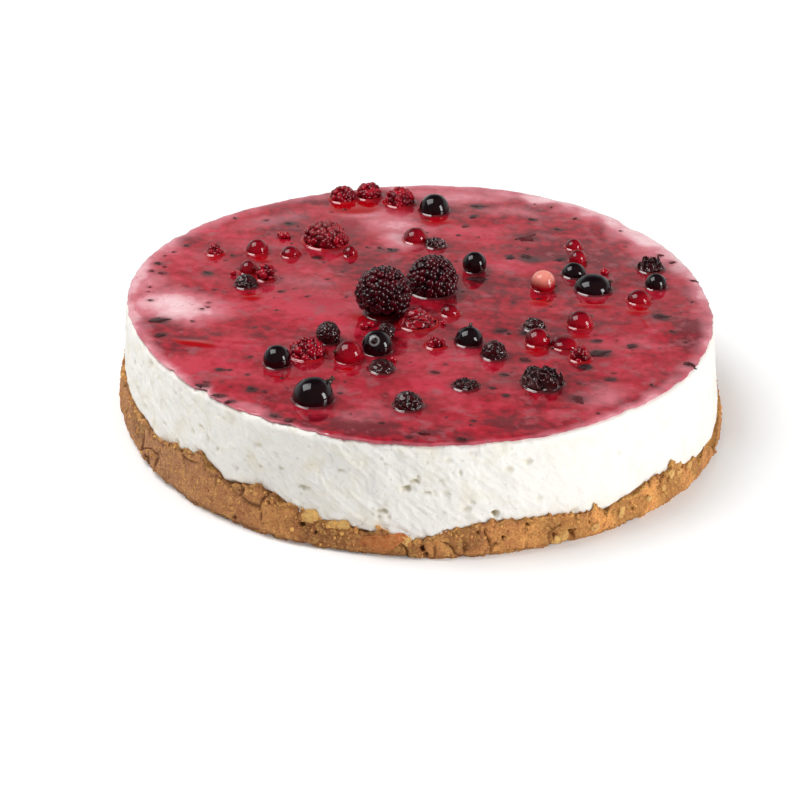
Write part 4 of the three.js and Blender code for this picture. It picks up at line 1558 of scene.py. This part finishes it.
def makeCurrantMaterial(name, deep, bright, subsurface, reach):
    material, sheet, shader = newMaterial(name, {
        "Specular IOR Level": 0.05, "Coat Roughness": 0.04, "Subsurface Weight": subsurface,
        "Subsurface Radius": (reach, reach * 0.12, reach * 0.1), "Subsurface Scale": 1.0})
    vein = sheet.attribute("vein")
    dry = sheet.attribute("dry")
    cloud = sheet.grain(0.004, detail=2)
    # painted light: the bright colour where light would come through the berry, the deep one elsewhere
    glow = sheet.attribute("glow") * 0.75 + (cloud - 0.5) * 0.7 + vein * 0.15
    ground = glow.clipped().mixed(deep, bright)
    blushed = sheet.attribute("pink").mixed(ground, currants["pink"])
    ringed = sheet.attribute("scar").mixed(blushed, currants["scar"])
    colour = dry.mixed(ringed, currants["dryEnd"])
    rough = 0.10 + dry * 0.6 + cloud * 0.10
    skin = sheet.bump(sheet.grain(0.0028, detail=2), currants["uneven"])
    feed(sheet, shader, {"Base Color": colour, "Roughness": rough, "Normal": skin,
                         "Coat Weight": sheet.attribute("wet")})
    return material


def addCurrantModel():
    clearSelection()
    bpy.ops.mesh.primitive_uv_sphere_add(segments=currants["segments"], ring_count=currants["rings"],
                                         radius=1)
    model = bpy.context.object
    # the dried flower end stands on the pole
    editWith(model, "FACE", lambda face: face.center.z > 0.975)
    bpy.ops.mesh.extrude_region_move(TRANSFORM_OT_translate={"value": (0, 0, 0.10)})
    bpy.ops.transform.resize(value=(0.45, 0.45, 1), center_override=(0, 0, 1.08))
    bpy.ops.mesh.extrude_region_move(TRANSFORM_OT_translate={"value": (0, 0, 0.06)})
    bpy.ops.transform.resize(value=(1.5, 1.5, 1), center_override=(0, 0, 1.14))
    leaveEdit()
    return model


def addCurrant(model, berry, seed):
    chance = random.Random(seed)
    name = berry["node"]
    half, middle = berry["half"], berry["middle"]
    piece = copyOf(model, Matrix.Identity(4))
    unit = readPlaces(piece)
    angles, spread = around(unit)
    dry = smoothStep(1.0, 1.05, unit[:, 2])
    hasScar = name == currants["scarOn"]
    scar = smoothStep(0.21, 0.26, spread) * smoothStep(0.38, 0.33, spread) * (unit[:, 2] > 0) * hasScar
    unit += unit * (0.035 * lumps(unit, 0.9, chance.uniform(0, 50)))[:, None]
    unit[:, :2] += (dry * 0.05 * lumps(unit, 0.06, 3.0))[:, None]
    unit[:, 2] += dry * (unit[:, 2] - 1.0) * (currants["longEnds"].get(name, 1.0) - 1)
    vein = np.abs(np.cos(angles * 6)) ** 6 * smoothStep(0.1, 0.4, spread)
    writePlaces(piece, unit)
    paintAll(piece, vein=vein, dry=dry * (0.25 if hasScar else 1.0), scar=0.6 * scar)
    towards, up = currants["ends"].get(name, (chance.uniform(0, 360), chance.uniform(-60, 5)))
    end = Euler((0, math.radians(90 - up), math.radians(towards))).to_matrix().to_4x4()
    piece.data.transform(Matrix.Translation(middle) @ Matrix.Diagonal((*half, 1)) @ end)
    outward = (readPlaces(piece) - np.array(middle)) / np.array(half)
    # painted light coming through the berry
    paint(piece, "glow", smoothStep(-0.75, 0.85, outward @ np.array(currants["glowTo"])))
    pinkness = np.zeros(len(unit))
    if name == currants["pinkOn"]:
        heights = (readPlaces(piece)[:, 2] - middle.z) / half.z
        pinkness = 0.95 * smoothStep(-0.15, 0.80, heights + 0.2 * lumps(readPlaces(piece), 0.004, 2.0))
    paint(piece, "pink", pinkness)
    paintWet(piece)
    return piece


def makeCurrants():
    redSkin = makeCurrantMaterial("redCurrantSkin", currants["redDeep"], currants["red"], 0.25, 0.003)
    blackSkin = makeCurrantMaterial("blackCurrantSkin", currants["black"], currants["blackRed"], 0.0, 0.001)
    model = addCurrantModel()
    for seed, (name, berry) in enumerate(berries.items()):
        if "currant" not in name:
            continue
        isRed = name.startswith("red")
        keepPiece(addCurrant(model, berry, seed), name + "_fruit", redSkin if isRed else blackSkin,
                  [name])
    removeModels([model])


makeCurrants()
print("currants placed")


# shrunken berries and the broken raspberry
shrunken = {
    "plain": {"folds": 0.50, "depth": 0.11, "jagged": 0.0, "veil": 0.0, "peak": 0.0, "fibres": 0.0},
    "forms": {
        # its pale marks are painted glints of a shiny film
        "wrinkled_berry_1": {"folds": 0.60, "depth": 0.20, "jagged": 0.15, "fibres": 0.6},
        "wrinkled_berry_3": {"folds": 0.30, "depth": 0.08},
        "wrinkled_berry_5": {"folds": 0.8, "depth": 0.06, "veil": 0.60},
        "wrinkled_berry_8": {"folds": 0.75, "depth": 0.24, "jagged": 0.25},
        "wrinkled_berry_9": {"folds": 0.7, "depth": 0.15, "jagged": 0.10, "veil": 0.45},
        "wrinkled_berry_10": {"folds": 0.55, "depth": 0.38, "jagged": 0.42, "veil": 0.25},
        "wrinkled_berry_11": {"folds": 1.1, "depth": 0.24, "jagged": 0.40, "veil": 0.55},
        "raspberry_piece_3": {"folds": 0.50, "depth": 0.20, "peak": 0.35, "fibres": 0.35},
    },
    "dark": tint(10, 4, 6),
    "red": tint(66, 8, 14),
    "veil": tint(92, 60, 58),
    "fibre": tint(226, 176, 178),
    "fleshRed": tint(92, 2, 14),
    "fleshPale": tint(168, 10, 34),
}


def makeShrunkenMaterial(name, dark, bright, rough):
    material, sheet, shader = newMaterial(name, {"Specular IOR Level": 0.10, "Coat Roughness": 0.04})
    fold = sheet.attribute("fold")
    veil = sheet.attribute("veil")
    fine = sheet.grain(0.0014, detail=4)
    # painted shade: darker in the deep creases, redder on the ridges
    ground = (fine.between(0.35, 0.75) * 0.5 + fold * 0.5).clipped().mixed(dark, bright)
    veiled = (veil * fine.between(0.30, 0.60)).mixed(ground, shrunken["veil"])
    # pale fibres, which on wrinkled_berry_1 are painted glints
    colour = sheet.attribute("fibres").mixed(veiled, shrunken["fibre"])
    feed(sheet, shader, {"Base Color": colour, "Roughness": rough + fine * 0.12,
                         "Coat Weight": sheet.attribute("wet"), "Normal": sheet.bump(fine, 0.00018)})
    return material


def addShrunken(berry, seed):
    chance = random.Random(seed)
    form = {**shrunken["plain"], **shrunken["forms"].get(berry["node"], {})}
    half, middle = berry["half"], berry["middle"]
    clearSelection()
    bpy.ops.mesh.primitive_ico_sphere_add(subdivisions=6, radius=1)
    piece = bpy.context.object
    unit = readPlaces(piece)
    shift = chance.uniform(0, 90)
    fold = 1 - np.abs(lumps(unit, form["folds"], shift)) * 3.0
    deep = np.clip(fold, 0, 1) ** 1.3
    lump = lumps(unit, 0.75, shift + 7) * 0.6 * form["depth"] + lumps(unit, 0.20, shift + 3) * 0.035
    unit *= (1.0 - form["depth"] * deep + lump)[:, None]
    # torn edges stand up out of the top
    torn = np.clip(1 - np.abs(lumps(unit * np.array([1, 1, 0.3]), 0.42, shift + 11)) * 3.5, 0, 1) ** 2
    unit[:, 2] += form["jagged"] * (torn * 1.6 - 0.5) * smoothStep(0.0, 0.5, unit[:, 2])
    # drawn in towards a point that leans to the left
    rise = np.clip(unit[:, 2], 0, 1)
    unit[:, :2] *= (1 - form["peak"] * rise)[:, None]
    unit[:, 0] -= 0.35 * form["peak"] * rise
    unit *= 1 / np.abs(unit).max(axis=0)
    # pale fibres on the front right; on wrinkled_berry_1 they are painted glints
    fibres = np.clip(1 - np.abs(lumps(unit, 0.40, shift + 5)) * 11, 0, 1)
    fibres *= smoothStep(0.0, 0.5, unit[:, 0] - unit[:, 1])
    veiled = smoothStep(0.6, -0.4, unit[:, 2] + unit[:, 0] * 0.8 + 0.4 * lumps(unit, 0.35, shift))
    writePlaces(piece, unit)
    piece.data.transform(Matrix.Translation(middle) @ Matrix.Diagonal((*half, 1)))
    paintWet(piece)
    # fold carries the painted shade of the creases
    paintAll(piece, fold=1 - deep, fibres=form["fibres"] * fibres, veil=form["veil"] * veiled)
    return piece


def makeShrunken():
    skin = makeShrunkenMaterial("shrunkenSkin", shrunken["dark"], shrunken["red"], 0.05)
    flesh = makeShrunkenMaterial("brokenFlesh", shrunken["fleshRed"], shrunken["fleshPale"], 0.06)
    for seed, (name, berry) in enumerate(berries.items()):
        if name.startswith("wrinkled"):
            keepPiece(addShrunken(berry, seed), name + "_fruit", skin, [name])
        if name == "raspberry_piece_3":
            keepPiece(addShrunken(berry, seed), name + "_fruit", flesh, [name])


makeShrunken()
print("shrunken berries placed")
